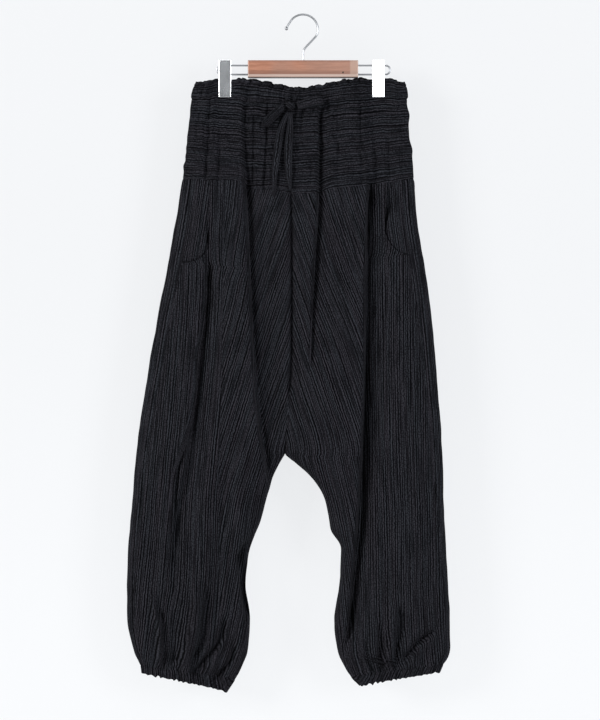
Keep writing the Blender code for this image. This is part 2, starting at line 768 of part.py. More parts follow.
def add_hanger(collection, cutters):
    half = BAR_LENGTH / 2
    bar = add_block(
        "hanger_bar",
        (-half, -BAR_THICKNESS / 2, BAR_TOP - BAR_HEIGHT),
        (half, BAR_THICKNESS / 2, BAR_TOP),
        "wood", collection, bevel=1.0,
    )
    bore = WIRE + 2 * BORE_CLEARANCE
    for side, sign in (("left", 1), ("right", -1)):
        start = sign * (half - RAIL_INSERTED)
        turn = abs(RAIL_ENDS[side]) - WIRE / 2 - RAIL_SPACING / 2
        middle = RAIL_TOP - RAIL_SPACING / 2
        bend = arc((0, middle), RAIL_SPACING / 2, 90, -90, 9)
        bend = [(sign * (turn + x), y, z) for x, y, z in bend]
        foot = RAIL_TOP - RAIL_SPACING
        route = [(start, 0, RAIL_TOP), *bend, (start, 0, foot)]
        add_tube("hanger_rail_" + side, route, WIRE, "steel", collection)
        for z in (RAIL_TOP, foot):
            deep = sign * (half - RAIL_INSERTED - 2)
            cut_hole(bar, (deep, 0, z), (sign * (half + 5), 0, z), bore, cutters)
        add_clip(side, collection, cutters)
    stem_foot = BAR_TOP - HOOK_STEM
    hook_bore = HOOK_WIRE + 2 * BORE_CLEARANCE
    cut_hole(bar, (0, 0, stem_foot - 2), (0, 0, BAR_TOP + 5), hook_bore, cutters)
    add_hook(collection, stem_foot)


def add_clip(side, collection, cutters):
    centre = CLIP_CENTRES[side]
    low_x, high_x = centre - CLIP_WIDTH / 2, centre + CLIP_WIDTH / 2
    for face, sign in (("front", -1), ("back", 1)):
        near, far = sorted((sign * CLIP_MOUTH, sign * (CLIP_MOUTH + CLIP_PLATE)))
        add_block(
            f"hanger_clip_{face}_{side}", (low_x, near, CLIP_FOOT), (high_x, far, CLIP_TOP),
            "steel", collection, bevel=0.4,
        )
    thick = CLIP_MOUTH - SEAM_GAP
    carrier = add_block(
        "hanger_carrier_" + side,
        (centre - CARRIER_WIDTH / 2, -thick, CARRIER_FOOT),
        (centre + CARRIER_WIDTH / 2, thick, RAIL_TOP + 4.0),
        "steel", collection,
    )
    for z in (RAIL_TOP, RAIL_TOP - RAIL_SPACING):
        ends = (centre - CARRIER_WIDTH, 0, z), (centre + CARRIER_WIDTH, 0, z)
        cut_hole(carrier, *ends, WIRE + 2 * BORE_CLEARANCE, cutters)


def add_hook(collection, stem_foot):
    """The hook: a stem out of the bar, a bend out to one side, and the turn over the top."""
    top = HOOK_WIRE / 2
    radius = HOOK_RADIUS + HOOK_WIRE / 2
    centre = (0, top - radius)
    over = arc(centre, radius, -25, 150, 18)
    tip = [(-23.5, 0, -15.5), (-25.5, 0, -19.5)]
    out = smooth_route([(0, 0, -60), (0.5, 0, -55), (5, 0, -48.5), (13, 0, -40), over[0]], 12)
    route = [(0, 0, stem_foot), (0, 0, -66), *out[:-1], *over, *tip]
    add_tube("hanger_hook", route, HOOK_WIRE, "steel", collection)


def main():
    for old in list(bpy.data.objects):
        bpy.data.objects.remove(old)
    parts = bpy.data.collections.new("harem_pants")
    cutters = bpy.data.collections.new("cutters")
    for collection in (parts, cutters):
        bpy.context.scene.collection.children.link(collection)
    add_garment(parts)
    add_drawstring(parts)
    add_hanger(parts, cutters)


main()
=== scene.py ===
"""The looks of the harem pants on their clip hanger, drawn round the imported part.

Sizes are in millimetres, in the part's own frame: x towards the wearer's left, z up from the
inside of the hook's top, and y towards the back. The cloth follows the same tables and the same
skin() as its solids, apart from narrower folds in front, and adds its smaller creases, tucks,
gathers, seams and stitches on a finer grid.
"""

import math

import bmesh
import bpy
import numpy as np
from mathutils import Matrix


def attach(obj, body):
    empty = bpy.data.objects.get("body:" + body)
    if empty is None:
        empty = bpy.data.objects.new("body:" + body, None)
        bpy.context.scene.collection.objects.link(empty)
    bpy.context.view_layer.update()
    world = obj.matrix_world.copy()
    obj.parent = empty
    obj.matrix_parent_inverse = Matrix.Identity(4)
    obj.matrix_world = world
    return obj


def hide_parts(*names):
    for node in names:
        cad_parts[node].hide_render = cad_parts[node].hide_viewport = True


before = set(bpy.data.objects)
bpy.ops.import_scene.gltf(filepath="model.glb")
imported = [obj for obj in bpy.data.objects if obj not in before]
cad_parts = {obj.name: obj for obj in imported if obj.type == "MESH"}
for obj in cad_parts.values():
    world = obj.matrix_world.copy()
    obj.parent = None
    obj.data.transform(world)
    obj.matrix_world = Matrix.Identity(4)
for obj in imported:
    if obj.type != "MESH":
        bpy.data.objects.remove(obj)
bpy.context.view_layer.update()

MM = 0.001
SIDE_NAMES = ("left", "right")
OUTWARD = {"left": 1, "right": -1}

# ---------------------------------------------------------------- the garment's own sizes

# Cloth, and the thickness of each kind of piece
SHELL = 0.9
BAND_SHELL = 1.8
BAND_WALL = 2.2
SEAM_GAP = 0.3
ROUNDNESS = 2.4

# Stations: distances below the waist's top edge, measured down the side
WAIST_TOP = 0.0
BAND_FOOT = 28.0
YOKE_FOOT = 152.0
CROTCH = 584.0
CUFF_TOP = 906.0
HEM = 918.0
FOLDED_DEPTH = 33.0
CROTCH_REACH = 115.0
LEG_ROUNDS_FROM = 330.0
LEG_ROUNDS_OVER = 380.0
NEAR_CENTRE = (0.6, 0.4)

# How the level lines bend towards the sides, and how much less below a station
LEVEL_BEND = 1.3
LEVEL_BEND_LOST = 0.55
LEVEL_BEND_FADES = (850.0, 50.0)

# How soon the gathers turn from standing out of the cloth to standing sideways at its edges
FACING_GAIN = 1.6

# The side edge of each half: station, x, z
SIDES = {
    "right": [
        (0, -165, -102), (28, -171, -129), (90, -179, -191), (152, -187, -253),
        (216, -197, -317), (278, -208, -379), (340, -220, -441), (402, -232, -503),
        (464, -242, -565), (526, -252, -627), (584, -259, -685), (645, -264, -746),
        (690, -268, -790), (735, -271, -835), (785, -273, -885), (835, -272, -935),
        (870, -266, -970), (895, -257, -995), (906, -252, -1007), (918, -250, -1019),
    ],
    "left": [
        (0, 157, -102), (28, 160, -129), (90, 167, -191), (152, 172, -253), (216, 177, -317),
        (278, 187, -379), (340, 196, -441), (402, 203, -503), (464, 208, -565),
        (526, 213, -627), (584, 216, -685), (645, 218, -746), (690, 220, -790),
        (735, 222, -835), (785, 225, -885), (835, 228, -935), (870, 228, -970),
        (895, 225, -993), (906, 218, -1005), (918, 212, -1017),
    ],
}

# The centre line from the waist to the crotch: station, x, z
CENTRE = [
    (0, -7, -113), (28, -8, -141), (90, -13, -207), (152, -17, -273), (278, -17, -395),
    (402, -18, -514), (526, -24, -628), (584, -28, -681),
]

# The inner edge of each leg from the crotch to the hem: station, x, z
INSEAMS = {
    "right": [
        (584, -28, -681), (612, -43, -708), (645, -54, -741), (690, -65, -783),
        (735, -82, -828), (785, -88, -882), (835, -82, -936), (870, -84, -972),
        (895, -92, -1004), (906, -104, -1028), (918, -118, -1049),
    ],
    "left": [
        (584, -28, -681), (612, 4, -708), (645, 28, -738), (690, 40, -782), (708, 43, -799),
        (735, 58, -826), (785, 56, -880), (835, 48, -935), (870, 51, -972), (895, 60, -1001),
        (906, 73, -1024), (918, 88, -1040),
    ],
}

# How far the front and the back stand from the hanger's plane: station, front, back
DEPTHS = [
    (0, 15, 14), (28, 17, 16), (90, 22, 20), (152, 26, 24), (278, 30, 29), (402, 33, 31),
    (584, 34, 32), (735, 33, 31), (835, 30, 29), (895, 20, 20), (918, 15, 15),
]

# The side seam, as a share of the way from the centre to the side edge: station, share
SIDE_SEAM = [(0, 0.92), (152, 0.915), (300, 0.89), (600, 0.93), (918, 0.95)]

# Folds that sink into each face. Each runs through three points and is as wide on its right
# and left (-X and +X) as toward_right and toward_left say. It slides sideways by lean, so
# that one side hangs over it, and fades over its first and last millimetres.
FOLD_COLUMNS = (
    "z_top", "x_top", "z_mid", "x_mid", "z_foot", "x_foot",
    "depth", "toward_right", "toward_left", "lean", "fade_in", "fade_out",
)
FRONT_FOLDS = [
    (-140, -148, -200, -150, -262, -154, 5, 4, 10, 0, 40, 30),
    (-140, -129, -200, -130, -262, -131, 4, 4, 8, 0, 40, 30),
    (-120, -90, -200, -88, -300, -86, 9, 7, 14, 0, 40, 40),
    (-130, -60, -200, -62, -262, -64, 4, 8, 8, 0, 40, 40),
    (-130, 27, -230, 27, -470, 15, 11, 4, 14, -1, 30, 180),
    (-130, 54, -200, 54, -262, 55, 2, 8, 9, 0, 40, 40),
    (-140, 84, -200, 86, -262, 88, 2, 9, 9, 0, 40, 40),
    (-130, 134, -200, 134, -262, 135, 3, 7, 8, 0, 40, 30),
    (-285, -18, -450, -17, -640, -23, 6, 13, 16, 0, 60, 60),
    (-255, -85, -480, -75, -745, -48, 14, 5, 36, -1, 60, 160),
    (-385, -144, -590, -162, -830, -198, 13, 5, 26, -1, 60, 220),
    (-262, 104, -673, 94, -960, 72, 20, 4, 24, -1, 60, 90),
    (-700, -121, -850, -130, -1000, -136, 8, 9, 16, 0, 120, 20),
    (-820, -112, -900, -108, -1020, -124, 6, 12, 14, 0, 60, 20),
    (-760, -236, -900, -232, -1000, -222, 5, 12, 14, 0, 90, 20),
    (-720, 128, -880, 130, -1010, 137, 5, 14, 14, 0, 120, 20),
    (-640, 190, -840, 196, -1000, 184, 5, 12, 16, 0, 160, 20),
]
BACK_FOLDS = [
    (-130, -132, -200, -134, -262, -138, 5, 10, 9, 0, 40, 30),
    (-120, -78, -250, -80, -420, -90, 8, 14, 9, 0, 40, 120),
    (-130, -34, -200, -34, -262, -36, 4, 9, 9, 0, 40, 30),
    (-120, 44, -250, 46, -430, 56, 9, 9, 15, 0, 40, 120),
    (-130, 98, -200, 100, -262, 104, 5, 9, 10, 0, 40, 30),
    (-285, -18, -450, -17, -640, -23, 7, 14, 14, 0, 60, 60),
    (-300, -118, -560, -134, -860, -150, 14, 24, 12, 4, 70, 150),
    (-300, 88, -560, 108, -900, 120, 15, 12, 26, -4, 70, 150),
    (-420, -196, -640, -214, -880, -226, 7, 14, 14, 0, 120, 120),
    (-430, 160, -660, 172, -900, 180, 7, 14, 14, 0, 120, 120),
    (-800, -118, -900, -122, -1020, -142, 6, 12, 14, 0, 80, 20),
    (-800, 92, -900, 96, -1010, 112, 6, 14, 12, 0, 80, 20),
]

# Gathers drawn up by the elastic in the waist and the hems
WAIST_GATHERS = 10
WAIST_GATHER_HEIGHTS = [(0, 2.2), (12, 1.2), (28, 1.5), (60, 0.5), (90, 0.0), (918, 0.0)]
RUFFLE_RISE = 1.0
RUFFLE_DROP = 14.0
RUFFLES = 2 * WAIST_GATHERS / 3
RUFFLE_SHIFT = 0.31
WAIST_ARCH = 10.0
WAIST_ARCH_DIP = (-3.0, 52.0)
WAIST_ARCH_ENDS = (150.0, 30.0)
WAIST_ARCH_DROP = 30.0
CUFF_GATHERS = 18
CUFF_GATHER_HEIGHTS = [(0, 0.0), (860, 0.0), (893, 0.5), (906, 0.8), (918, 0.9)]
GATHER_DRIFT = 0.012

# Pockets
POCKET_EDGE = {
    "right": [(150, 0.745), (215, 0.715), (250, 0.69)],
    "left": [(150, 0.775), (190, 0.76), (224, 0.735)],
}
POCKET_TURN = {"right": 250.0, "left": 224.0}
POCKET_FOOT = {"right": 280.0, "left": 268.0}
BAG_FOOT = 345.0
BAG_INNER_SHARE = 0.50
BAG_SWELL = 12.0
BAG_LAP = 0.6
BAG_RISES_OVER = 5.0
BAG_MEETS_FACE = 14.0
POCKET_GAPE = {"right": (-5.0, 3.0, 238.0, 12.0), "left": (-5.0, 14.0, 174.0, 34.0)}

# Hanger's clips, and the pinch that they give the cloth
CLIP_CENTRES = {"right": -121.0, "left": 116.5}
PINCH_HALF_WIDTH = 21.0
PINCH_FULL = 36.0
PINCH_GONE = 135.0
PINCH_LIFT = 6.5
PINCH_LIFT_FADE = 70.0

# ---------------------------------------------------------------- smaller creases

# Creases run from one place to another along a bowed line: x, z at each end, the bow sideways,
# the depth, which is negative for a ridge, and the half width.
FRONT_CREASES = [
    # at the waist's casing
    (26, -136, 84, -108, 3, 1.6, 3),
    (-96, -147, -78, -140, 1, 1.6, 2.5),
    # a small tack beside the front seam
    (-17, -299, -9, -306, -1, 1.6, 2),
    # pulled down from the yoke's seam
    (-60, -268, -74, -330, 4, 1.6, 5),
    (-30, -276, -44, -345, 3, 1.2, 5),
    (2, -276, -6, -360, -3, 1.4, 5),
    (45, -270, 36, -335, 2, 1.3, 5),
    (72, -266, 62, -360, 4, 1.8, 6),
    (-110, -260, -114, -320, 0, 1.2, 5),
    # round the pockets' corners
    (-150, -392, -118, -452, 6, 1.5, 6),
    (-170, -400, -152, -470, 5, 1.2, 6),
    (150, -384, 128, -450, -6, 1.3, 6),
    (168, -392, 158, -470, -4, 1.1, 6),
    # drag lines towards the crotch
    (-62, -470, -36, -640, -7, 2.0, 8),
    (-98, -520, -58, -690, -9, 2.2, 9),
    (10, -430, -14, -610, 6, 1.8, 8),
    (46, -500, -4, -676, 8, 2.2, 9),
    (70, -560, 22, -720, 8, 1.8, 8),
    # long soft ones down the legs
    (-218, -470, -236, -700, -5, 1.6, 8),
    (-196, -690, -214, -930, -4, 2.2, 9),
    (-182, -720, -184, -900, 3, -1.6, 8),
    (-156, -640, -162, -860, 0, 1.5, 8),
    (-120, -690, -106, -860, 5, 1.8, 8),
    (124, -470, 112, -700, 4, 1.6, 8),
    (150, -560, 156, -800, -4, 1.4, 8),
    (176, -520, 188, -760, -4, 1.6, 8),
    (100, -720, 88, -900, 4, -1.6, 8),
    # caught up above the cuffs
    (86, -950, 96, -1022, 3, 2.0, 5),
    (210, -940, 200, -1000, -3, 2.2, 5),
]
BACK_CREASES = [
    (-84, -268, -92, -350, 4, 1.5, 6),
    (-40, -276, -46, -350, -3, 1.3, 5),
    (14, -276, 10, -350, 3, 1.3, 5),
    (70, -268, 80, -360, -4, 1.6, 6),
    (128, -262, 134, -350, -3, 1.3, 6),
    (-138, -262, -146, -350, 3, 1.3, 6),
    (-80, -480, -36, -650, -8, 2.0, 8),
    (-112, -560, -62, -710, -9, 2.0, 9),
    (30, -470, -10, -640, 7, 2.0, 8),
    (66, -560, 6, -700, 9, 2.0, 9),
    (-214, -480, -236, -720, -5, 1.6, 8),
    (-176, -620, -190, -860, -4, 1.8, 8),
    (-118, -700, -108, -880, 5, 1.6, 8),
    (150, -600, 154, -820, -4, 1.6, 8),
    (190, -560, 202, -800, -4, 1.6, 8),
    (86, -720, 84, -900, 3, 1.6, 8),
    (-206, -940, -192, -1014, -3, 2.4, 5),
    (-160, -960, -150, -1024, 2, 2.2, 5),
    (-112, -960, -120, -1034, 2, 2.2, 5),
    (104, -950, 110, -1026, 2, 2.2, 5),
    (148, -958, 150, -1012, -2, 2.2, 5),
    (192, -946, 180, -1006, -3, 2.2, 5),
]

# How softly a crease ends: over which share of its length, and how strong it is at its tip
CREASE_ENDS = (0.35, 0.15)

# Tucks, where the cloth laps a little over itself along a narrow line. A tuck's step faces the
# wearer's left (+X) and rises again softly. Each is a name, its depth, its step's width and
# its soft side's width, and its line is given as distances below the hook and x.
RIGHT_HIP_LINE = [(262, -119), (500, -124), (700, -128)]
FRONT_TUCKS = {
    "hip_right": (4.4, 1.6, 4.5, [(125, -145), (200, -148), (258, -152)]),
    "belly_outer_right": (3.4, 1.5, 4.0, [(118, -128), (200, -130), (266, -132)]),
    "belly_right": (5.0, 1.6, 5.5, [(140, -92), (200, -91), (274, -87)]),
    "belly_inner_right": (4.0, 1.5, 4.0, [(150, -76), (200, -77), (262, -78)]),
    "belly_middle": (4.4, 1.6, 5.0, [(140, -55), (200, -57), (276, -61)]),
    "belly_left": (6.0, 1.5, 5.0, [(150, 27), (270, 26), (440, 17), (540, 12)]),
    "belly_inner_left": (2.4, 1.5, 4.0, [(140, 53), (200, 53), (268, 54)]),
    "belly_outer_left": (2.4, 1.5, 4.5, [(128, 86), (200, 88), (268, 90)]),
    "clip_left": (5.2, 1.6, 5.0, [(118, 108), (200, 109), (262, 111)]),
    "hip_left": (3.0, 1.5, 4.0, [(118, 130), (200, 131), (258, 133)]),
    "centre_front": (6.5, 2.0, 4.0, [(270, -20), (395, -18), (520, -18), (600, -23), (660, -27)]),
    "hip_line_right": (1.4, 1.2, 3.0, RIGHT_HIP_LINE),
    "thigh_right": (6.5, 1.5, 6.0, [(262, -86), (440, -78), (596, -71), (673, -60), (735, -48)]),
    "pocket_right": (
        8.0, 1.5, 6.0,
        [(384, -146), (487, -152), (518, -159), (596, -164), (658, -178), (704, -193), (800, -199)],
    ),
    "thigh_left": (
        10.0, 1.5, 5.5,
        [(262, 104), (363, 97), (673, 94), (813, 89), (865, 83), (904, 78), (971, 65)],
    ),
    "knee_right": (
        18.0, 1.8, 14.0, [(812, -88), (826, -95), (838, -101), (862, -98), (906, -93), (930, -89)],
    ),
    # broad soft ones, and ridges, whose depth is negative
    "panel_middle": (9.0, 11.0, 22.0, [(300, -58), (440, -56), (560, -50), (640, -44)]),
    "shin_right_outer": (5.0, 6.0, 9.0, [(760, -195), (860, -194), (960, -196)]),
    "shin_right_inner": (3.4, 5.0, 8.0, [(740, -140), (850, -142), (940, -145)]),
    "shin_right_ridge": (-2.4, 7.0, 7.0, [(700, -214), (850, -215), (900, -228)]),
    "shin_left_outer": (1.2, 9.0, 9.0, [(640, 178), (800, 176), (930, 180)]),
    # caught up above the cuffs
    "cuff_right_ridge": (
        -9.0, 6.0, 5.1, [(895, -232), (921, -227), (948, -220), (973, -218), (1000, -222)],
    ),
    "cuff_right_outer": (8.6, 2.7, 5.8, [(915, -224), (948, -216), (984, -215), (1012, -219)]),
    "cuff_right_hollow": (7.0, 9.0, 9.6, [(895, -208), (942, -202), (984, -198), (1006, -200)]),
    "cuff_right_small": (5.9, 2.2, 4.8, [(990, -196), (1006, -208)]),
    "cuff_right_middle_ridge": (
        -9.4, 7.5, 6.4, [(880, -165), (938, -165), (969, -175), (994, -181), (1030, -179)],
    ),
    "cuff_right_middle": (10.5, 3.9, 7.0, [(880, -151), (952, -155), (977, -161), (994, -171)]),
    "cuff_right_inner": (9.4, 2.7, 6.1, [(936, -122), (977, -136), (990, -148), (1014, -168)]),
    "cuff_right_inner_ridge": (-6.6, 6.8, 6.4, [(965, -121), (997, -136), (1018, -146)]),
    "cuff_right_inseam": (8.2, 2.7, 5.8, [(974, -108), (1000, -114), (1012, -125), (1030, -142)]),
    "cuff_left_outer": (
        9.4, 3.0, 7.0, [(948, 204), (956, 194), (964, 181), (985, 163), (998, 152)],
    ),
    "cuff_left_outer_ridge": (-7.0, 7.5, 8.0, [(962, 198), (982, 178), (1002, 166)]),
    "cuff_left_middle": (8.6, 2.5, 6.1, [(915, 147), (943, 149), (976, 144), (1010, 141)]),
    "cuff_left_middle_ridge": (-6.2, 6.8, 6.4, [(905, 138), (943, 139), (985, 134), (1015, 131)]),
    "cuff_left_inner": (9.0, 2.7, 6.7, [(948, 117), (995, 119), (1018, 120)]),
    "cuff_left_inseam": (6.6, 2.4, 5.8, [(965, 96), (1000, 101), (1024, 107)]),
}
TUCK_FADE = 26.0

# Tucks whose lines a leg's columns of points are drawn onto, from the centre outwards, the
# offsets of the columns on both sides, and the distance over which the columns let go
CRISP_TUCKS = {
    "right": ("thigh_right", "hip_line_right", "pocket_right"),
    "left": ("belly_left", "thigh_left"),
}
CRISP_OFFSETS = (-3.4, -2.2, -1.1, 0.0, 1.4, 3.2, 5.4)
CRISP_FADE = 50.0
CRISP_SHARES = (0.03, 0.97)
CRISP_PASSES = 14
CRISP_START = 0.4

# Where the stripes run along a tuck's step: how wide, from which depth of tuck, and how far a
# region of stripes reaches past its line
STEP_RUN = 4.5
STEP_FROM_DEPTH = 4.0
LINE_REACH = 0.4

# Short gathers that hang from a seam: count over a face's half, shortest and longest, depth,
# and the seeds of their places on the front and on the back
PLEATS = {
    "yoke": (13, 22, 80, 1.3, 20, 22),
    "seam": (9, 8, 34, 0.7, 24, 24),
    "cuff": (26, 12, 58, 1.7, 26, 28),
    "cuff_ring": (26, 12, 58, 1.02, 26, 26),
}
PLEAT_PLACES = 0.3
PLEAT_DEPTHS = (0.5, 1.2)
PLEAT_DRIFT = 0.25
PLEAT_HALF_WIDTHS = (0.26, 0.3)
SEAM_PLEATS_FROM = 60.0
CUFF_PLEATS_FROM = 700.0

# Fine crumple: number of soft waves, their shortest and longest, their whole height, how far
# they tilt, how much lower the short ones are, and the seeds of front and back
CRUMPLE = (22, 16.0, 74.0, 0.42)
CRUMPLE_TILT = 0.55
CRUMPLE_FALL = 0.7
CRUMPLE_SEEDS = (11, 12)

# Small up and down ripples of the yoke: their pitches and height, and how far and how often
# they wander sideways
RIPPLES = (7.3, 9.9, 13.1)
RIPPLE_HEIGHT = 0.5
RIPPLE_WANDERS = ((6.0, 31.0), (4.0, 17.0))

# How the yoke's front seam rises and drops along x, with a jump at its two main folds
SEAM_SHIFTS = [
    (-176, 0), (-150, 2.5), (-98, 7), (-94, 7), (-89, -2), (-50, -0.5), (-24, -3.5), (0, -5.5),
    (23, -6.5), (26, -6.5), (31, -3), (52, -1), (126, -1.5), (174, 0),
]
SEAM_SHIFT_REACH = 26.0

# Seams, how softly the finer form fades at them, and the ruffles of the waist and the hems
SEAM_STRAIGHTENS = 3.0
JOINING_REACH = 6.0
TUCKS_REACH_EDGE = 3
BAND_FADE = 12
BAND_OVERLAP = 8
CUFF_FADE = 20
RIPPLE_FADE = 60
SEAM_VALLEY = 0.7
SEAM_WIDTH = 1.6
HEADING_FOOT = 8.0
BAND_PUFF = 0.9
FINE_RUFFLES = 20
FINE_RUFFLE_HEIGHT = 1.25
FINE_RUFFLE_LEAST = 0.6
FINE_RUFFLE_TURN = 3.0
FINE_RUFFLE_DRIFT = (0.01, 9)
EDGE_RUFFLES = 15
EDGE_RUFFLE_RISE = 0.95
EDGE_DRIFTS = ((0.016, 11, 1), (0.009, 29, 2))
EDGE_UNEVEN = (0.6, 0.4, 7, 3)
HEM_RUFFLES = 15
HEM_SMALL_RUFFLES = (0.6, 61.0)
HEM_RUFFLE_GAIN = 1.4
BAND_STAND = 0.7

# Stripes: how far a bias-cut stripe moves outwards, by distance below the hook
BIAS_RUN = [(250, 0), (560, 108), (700, 156), (800, 180), (900, 195), (1050, 202)]
RIGHT_MIDDLE_RUN = [
    (250, 0), (350, -14), (450, -34), (560, -64), (700, -104), (800, -128), (900, -148),
    (1050, -176),
]
RIGHT_OUTER_RUN = [(250, 0), (450, -6), (700, -26), (1050, -58)]
LEFT_OUTER_RUN = [(250, 0), (700, 4), (1050, 10)]
BEND_IN_TUCKS = 0.1
BEND_AT_CUFFS = 0.3
BENDS_FROM = 780.0
BENDS_OVER = 40.0
BACK_THIGH_FOLDS = {"right": 6, "left": 7}
TURNED_AWAY = 0.9

# How the level stripes of the yoke wander and sink with its folds, and how far round the back's
# stripes are from the front's
LEVEL_WANDERS = ((0.5, 21.0, 1), (0.2, 8.3, 0))
LEVEL_SINK = 0.25
BACK_TURN = 700

# Grids of points
LEG_ROWS = 210
LEG_COLUMNS = 96
BACK_LEG_COLUMNS = 112
LEG_WRAP_COLUMNS = 15
POCKET_COLUMNS = 19
POCKET_TURN_ROWS = 22
CROWDED = 1.6
SHARP_ANGLE = 60
POCKET_INNER_SHARE = 0.63
RING_COLUMNS = 210
RING_WRAP_COLUMNS = 17
RING_CROWDED = 1.15
YOKE_ROWS = 70
BAND_ROWS = 34
CUFF_ROWS = 16
CUFF_COLUMNS = 260
CUFF_CROWDED = 0.25
BAG_ROWS = 64
BAG_COLUMNS = 60
BAG_NARROWS = (0.08, 270.0, 75.0)
SEARCH_BESIDE = (-0.05, 0.05, 9)
SEARCH_BELOW = (-10, 10, 3)

# The turned edge of each pocket's opening
LEG_WIDTH = 175.0
LIP_WIDTH = 7.0
LIP_RISE = 0.5
LIP_SLOPE = 2.0
LIP_STARTS_OVER = 10.0
LIP_LOW_RISE = 1.2
LIP_PUCKER = 0.35
LIP_PUCKER_WAVES = (1.9, 1.3, 11.0)
LIP_PUCKERS_FROM = 200.0
LIP_PUCKERS_OVER = 50.0

# Stitches: pitch, length, and rings along each one as share, radius and how far it is sunk
STITCH_PITCH = 3.4
STITCH_LENGTH = 2.5
STITCH_LEAST = 0.2
STITCH_SIDES = 6
STITCH_LIFT = 0.12
STITCH_RINGS = [(0.0, 0.08, 0.22), (0.16, 0.21, 0.04), (0.84, 0.21, 0.04), (1.0, 0.08, 0.22)]

# Rows of stitches round the body: part, station, and how far they stop short of the centre;
# and how far those beside the pockets and the long seams are set in
STITCHED_HALVES = ((0.0, 0.995), (1.005, 2.0))
STITCH_ROWS = [
    ("waistband", HEADING_FOOT + 0.2, 0.0), ("waistband", BAND_FOOT - 1.8, 0.0),
    ("yoke", YOKE_FOOT - 2.2, 0.0), ("cuffs", CUFF_TOP + 1.6, 0.004),
]
STITCH_NAMES = {"waistband": "waist", "yoke": "yoke", "legs": "legs", "cuffs": "cuffs"}
POCKET_STITCH_INSETS = (1.6, LIP_WIDTH - 0.4)
SEAM_STITCH_INSET = 2.2
CENTRE_STITCHED = (YOKE_FOOT + 2, CROTCH - 6)
LEVEL_LINE_POINTS = 260
DOWN_LINE_POINTS = 400

# Drawstring: routes in x, z and height above the cloth
STRING = 6.0
KNOT_WIDTH = 14.0
KNOT_PLACE = (-19.0, -143.0, 5.9)
STRING_ROUTES = {
    "drawstring_strand_right": [(-26.5, -127.5, 2.5), (-25.5, -130, 3.0), (-24.0, -133.6, 4.2)],
    "drawstring_strand_left": [(-11.5, -126.5, 2.6), (-12.5, -130, 3.1), (-14.0, -133.6, 4.2)],
    "drawstring_loop_right": [
        (-29.0, -142, 4.6), (-35, -146, 4.6), (-44, -154, 4.8), (-53, -163, 4.8),
        (-57.5, -168.8, 5.2), (-58.5, -173.4, 8.0), (-54.5, -171.6, 11.2), (-48, -165.0, 11.8),
        (-39, -156, 11.8), (-30.2, -147.5, 11.6),
    ],
    "drawstring_loop_left": [
        (-8.8, -143.0, 4.4), (-2, -141.4, 4.2), (8, -139.6, 4.2), (18, -137.2, 4.4),
        (25.6, -135.0, 5.2), (28.8, -134.2, 8.4), (25.0, -134.8, 11.4), (17, -136.4, 12.4),
        (8, -138.6, 12.8), (0, -140.6, 12.2), (-8.6, -142.4, 9.4),
    ],
    "drawstring_end_right": [
        (-22.6, -152.6, 5.2), (-27.0, -160, 5.0), (-33.0, -176, 4.8), (-37.0, -196, 4.6),
        (-40.2, -218, 4.4), (-43.0, -240, 4.2), (-45.5, -281, 3.8),
    ],
    "drawstring_end_left": [
        (-19.0, -152.6, 5.2), (-19.4, -160, 5.2), (-20.0, -176, 5.2), (-21.4, -196, 5.0),
        (-22.6, -218, 4.8), (-22.2, -240, 4.4), (-19.5, -273, 3.8),
    ],
}
TAPE_SIDES = 20
TAPE_ROUNDING = (0.75, 0.8)
TAPE_HOLLOW = 0.22
TAPE_HOLLOW_REACH = 0.22
TAPE_THICKNESS = 3.2
STRAND_WIDTH = 5.4
TAIL_WIDTHS = {
    "right": [(0, 6.0), (0.14, 8.6), (0.45, 12.0), (0.75, 9.0), (0.92, 6.0), (1, 3.6)],
    "left": [(0, 6.0), (0.14, 8.8), (0.5, 13.0), (0.8, 9.0), (0.94, 6.0), (1, 4.0)],
}
TAIL_FLATNESS = 0.36
LOOP_WIDTHS = {"right": 11.0, "left": 14.5}
LOOP_NARROWS = (2.6, 0.12)
STRING_POINTS = {"strand": 14, "loop": 72, "end": 72}

# Where the cloth behind the bow is looked for: shares of the half, and stations
BEHIND_BOW = ((0, 0.5, 121), (0, 200, 201))

# The knot's two turns: tilt in degrees, radii across and out, width, and shift; and the tape's
# half thickness in them, how far it rucks, and its map's scales across and along
KNOT_TURNS = [
    (28.0, (4.2, 2.8), 9.4, (0.5, 0.8, 0.0)),
    (-38.0, (5.2, 3.6), 8.2, (-0.3, -0.8, 0.3)),
]
KNOT_STEPS = 44
KNOT_TAPE = 1.9
KNOT_RUCKS = (0.10, 0.06)
KNOT_MAP = (1.6, 0.7)

# Finishes
GROUND = (0.0013, 0.0014, 0.0020)
GROUND_STRING = (0.0030, 0.0030, 0.0038)
PALE = ((0.0252, 0.0270, 0.0333), (0.0269, 0.0261, 0.0326))

# Each cotton: its ground, the pitches of its two kinds of thread, how far one runs, and strength
COTTONS = {
    "cotton_string": (GROUND_STRING, (0.0019, 0.0027), 0.05, 0.9),
    "cotton_legs_striped": (GROUND, (0.0033, 0.0044), 0.055, 1.0),
    "cotton_yoke_striped": (GROUND, (0.0031, 0.0046), 0.03, 0.92),
    "cotton_cuff_striped": (GROUND, (0.0035, 0.0048), 0.06, 0.95),
}

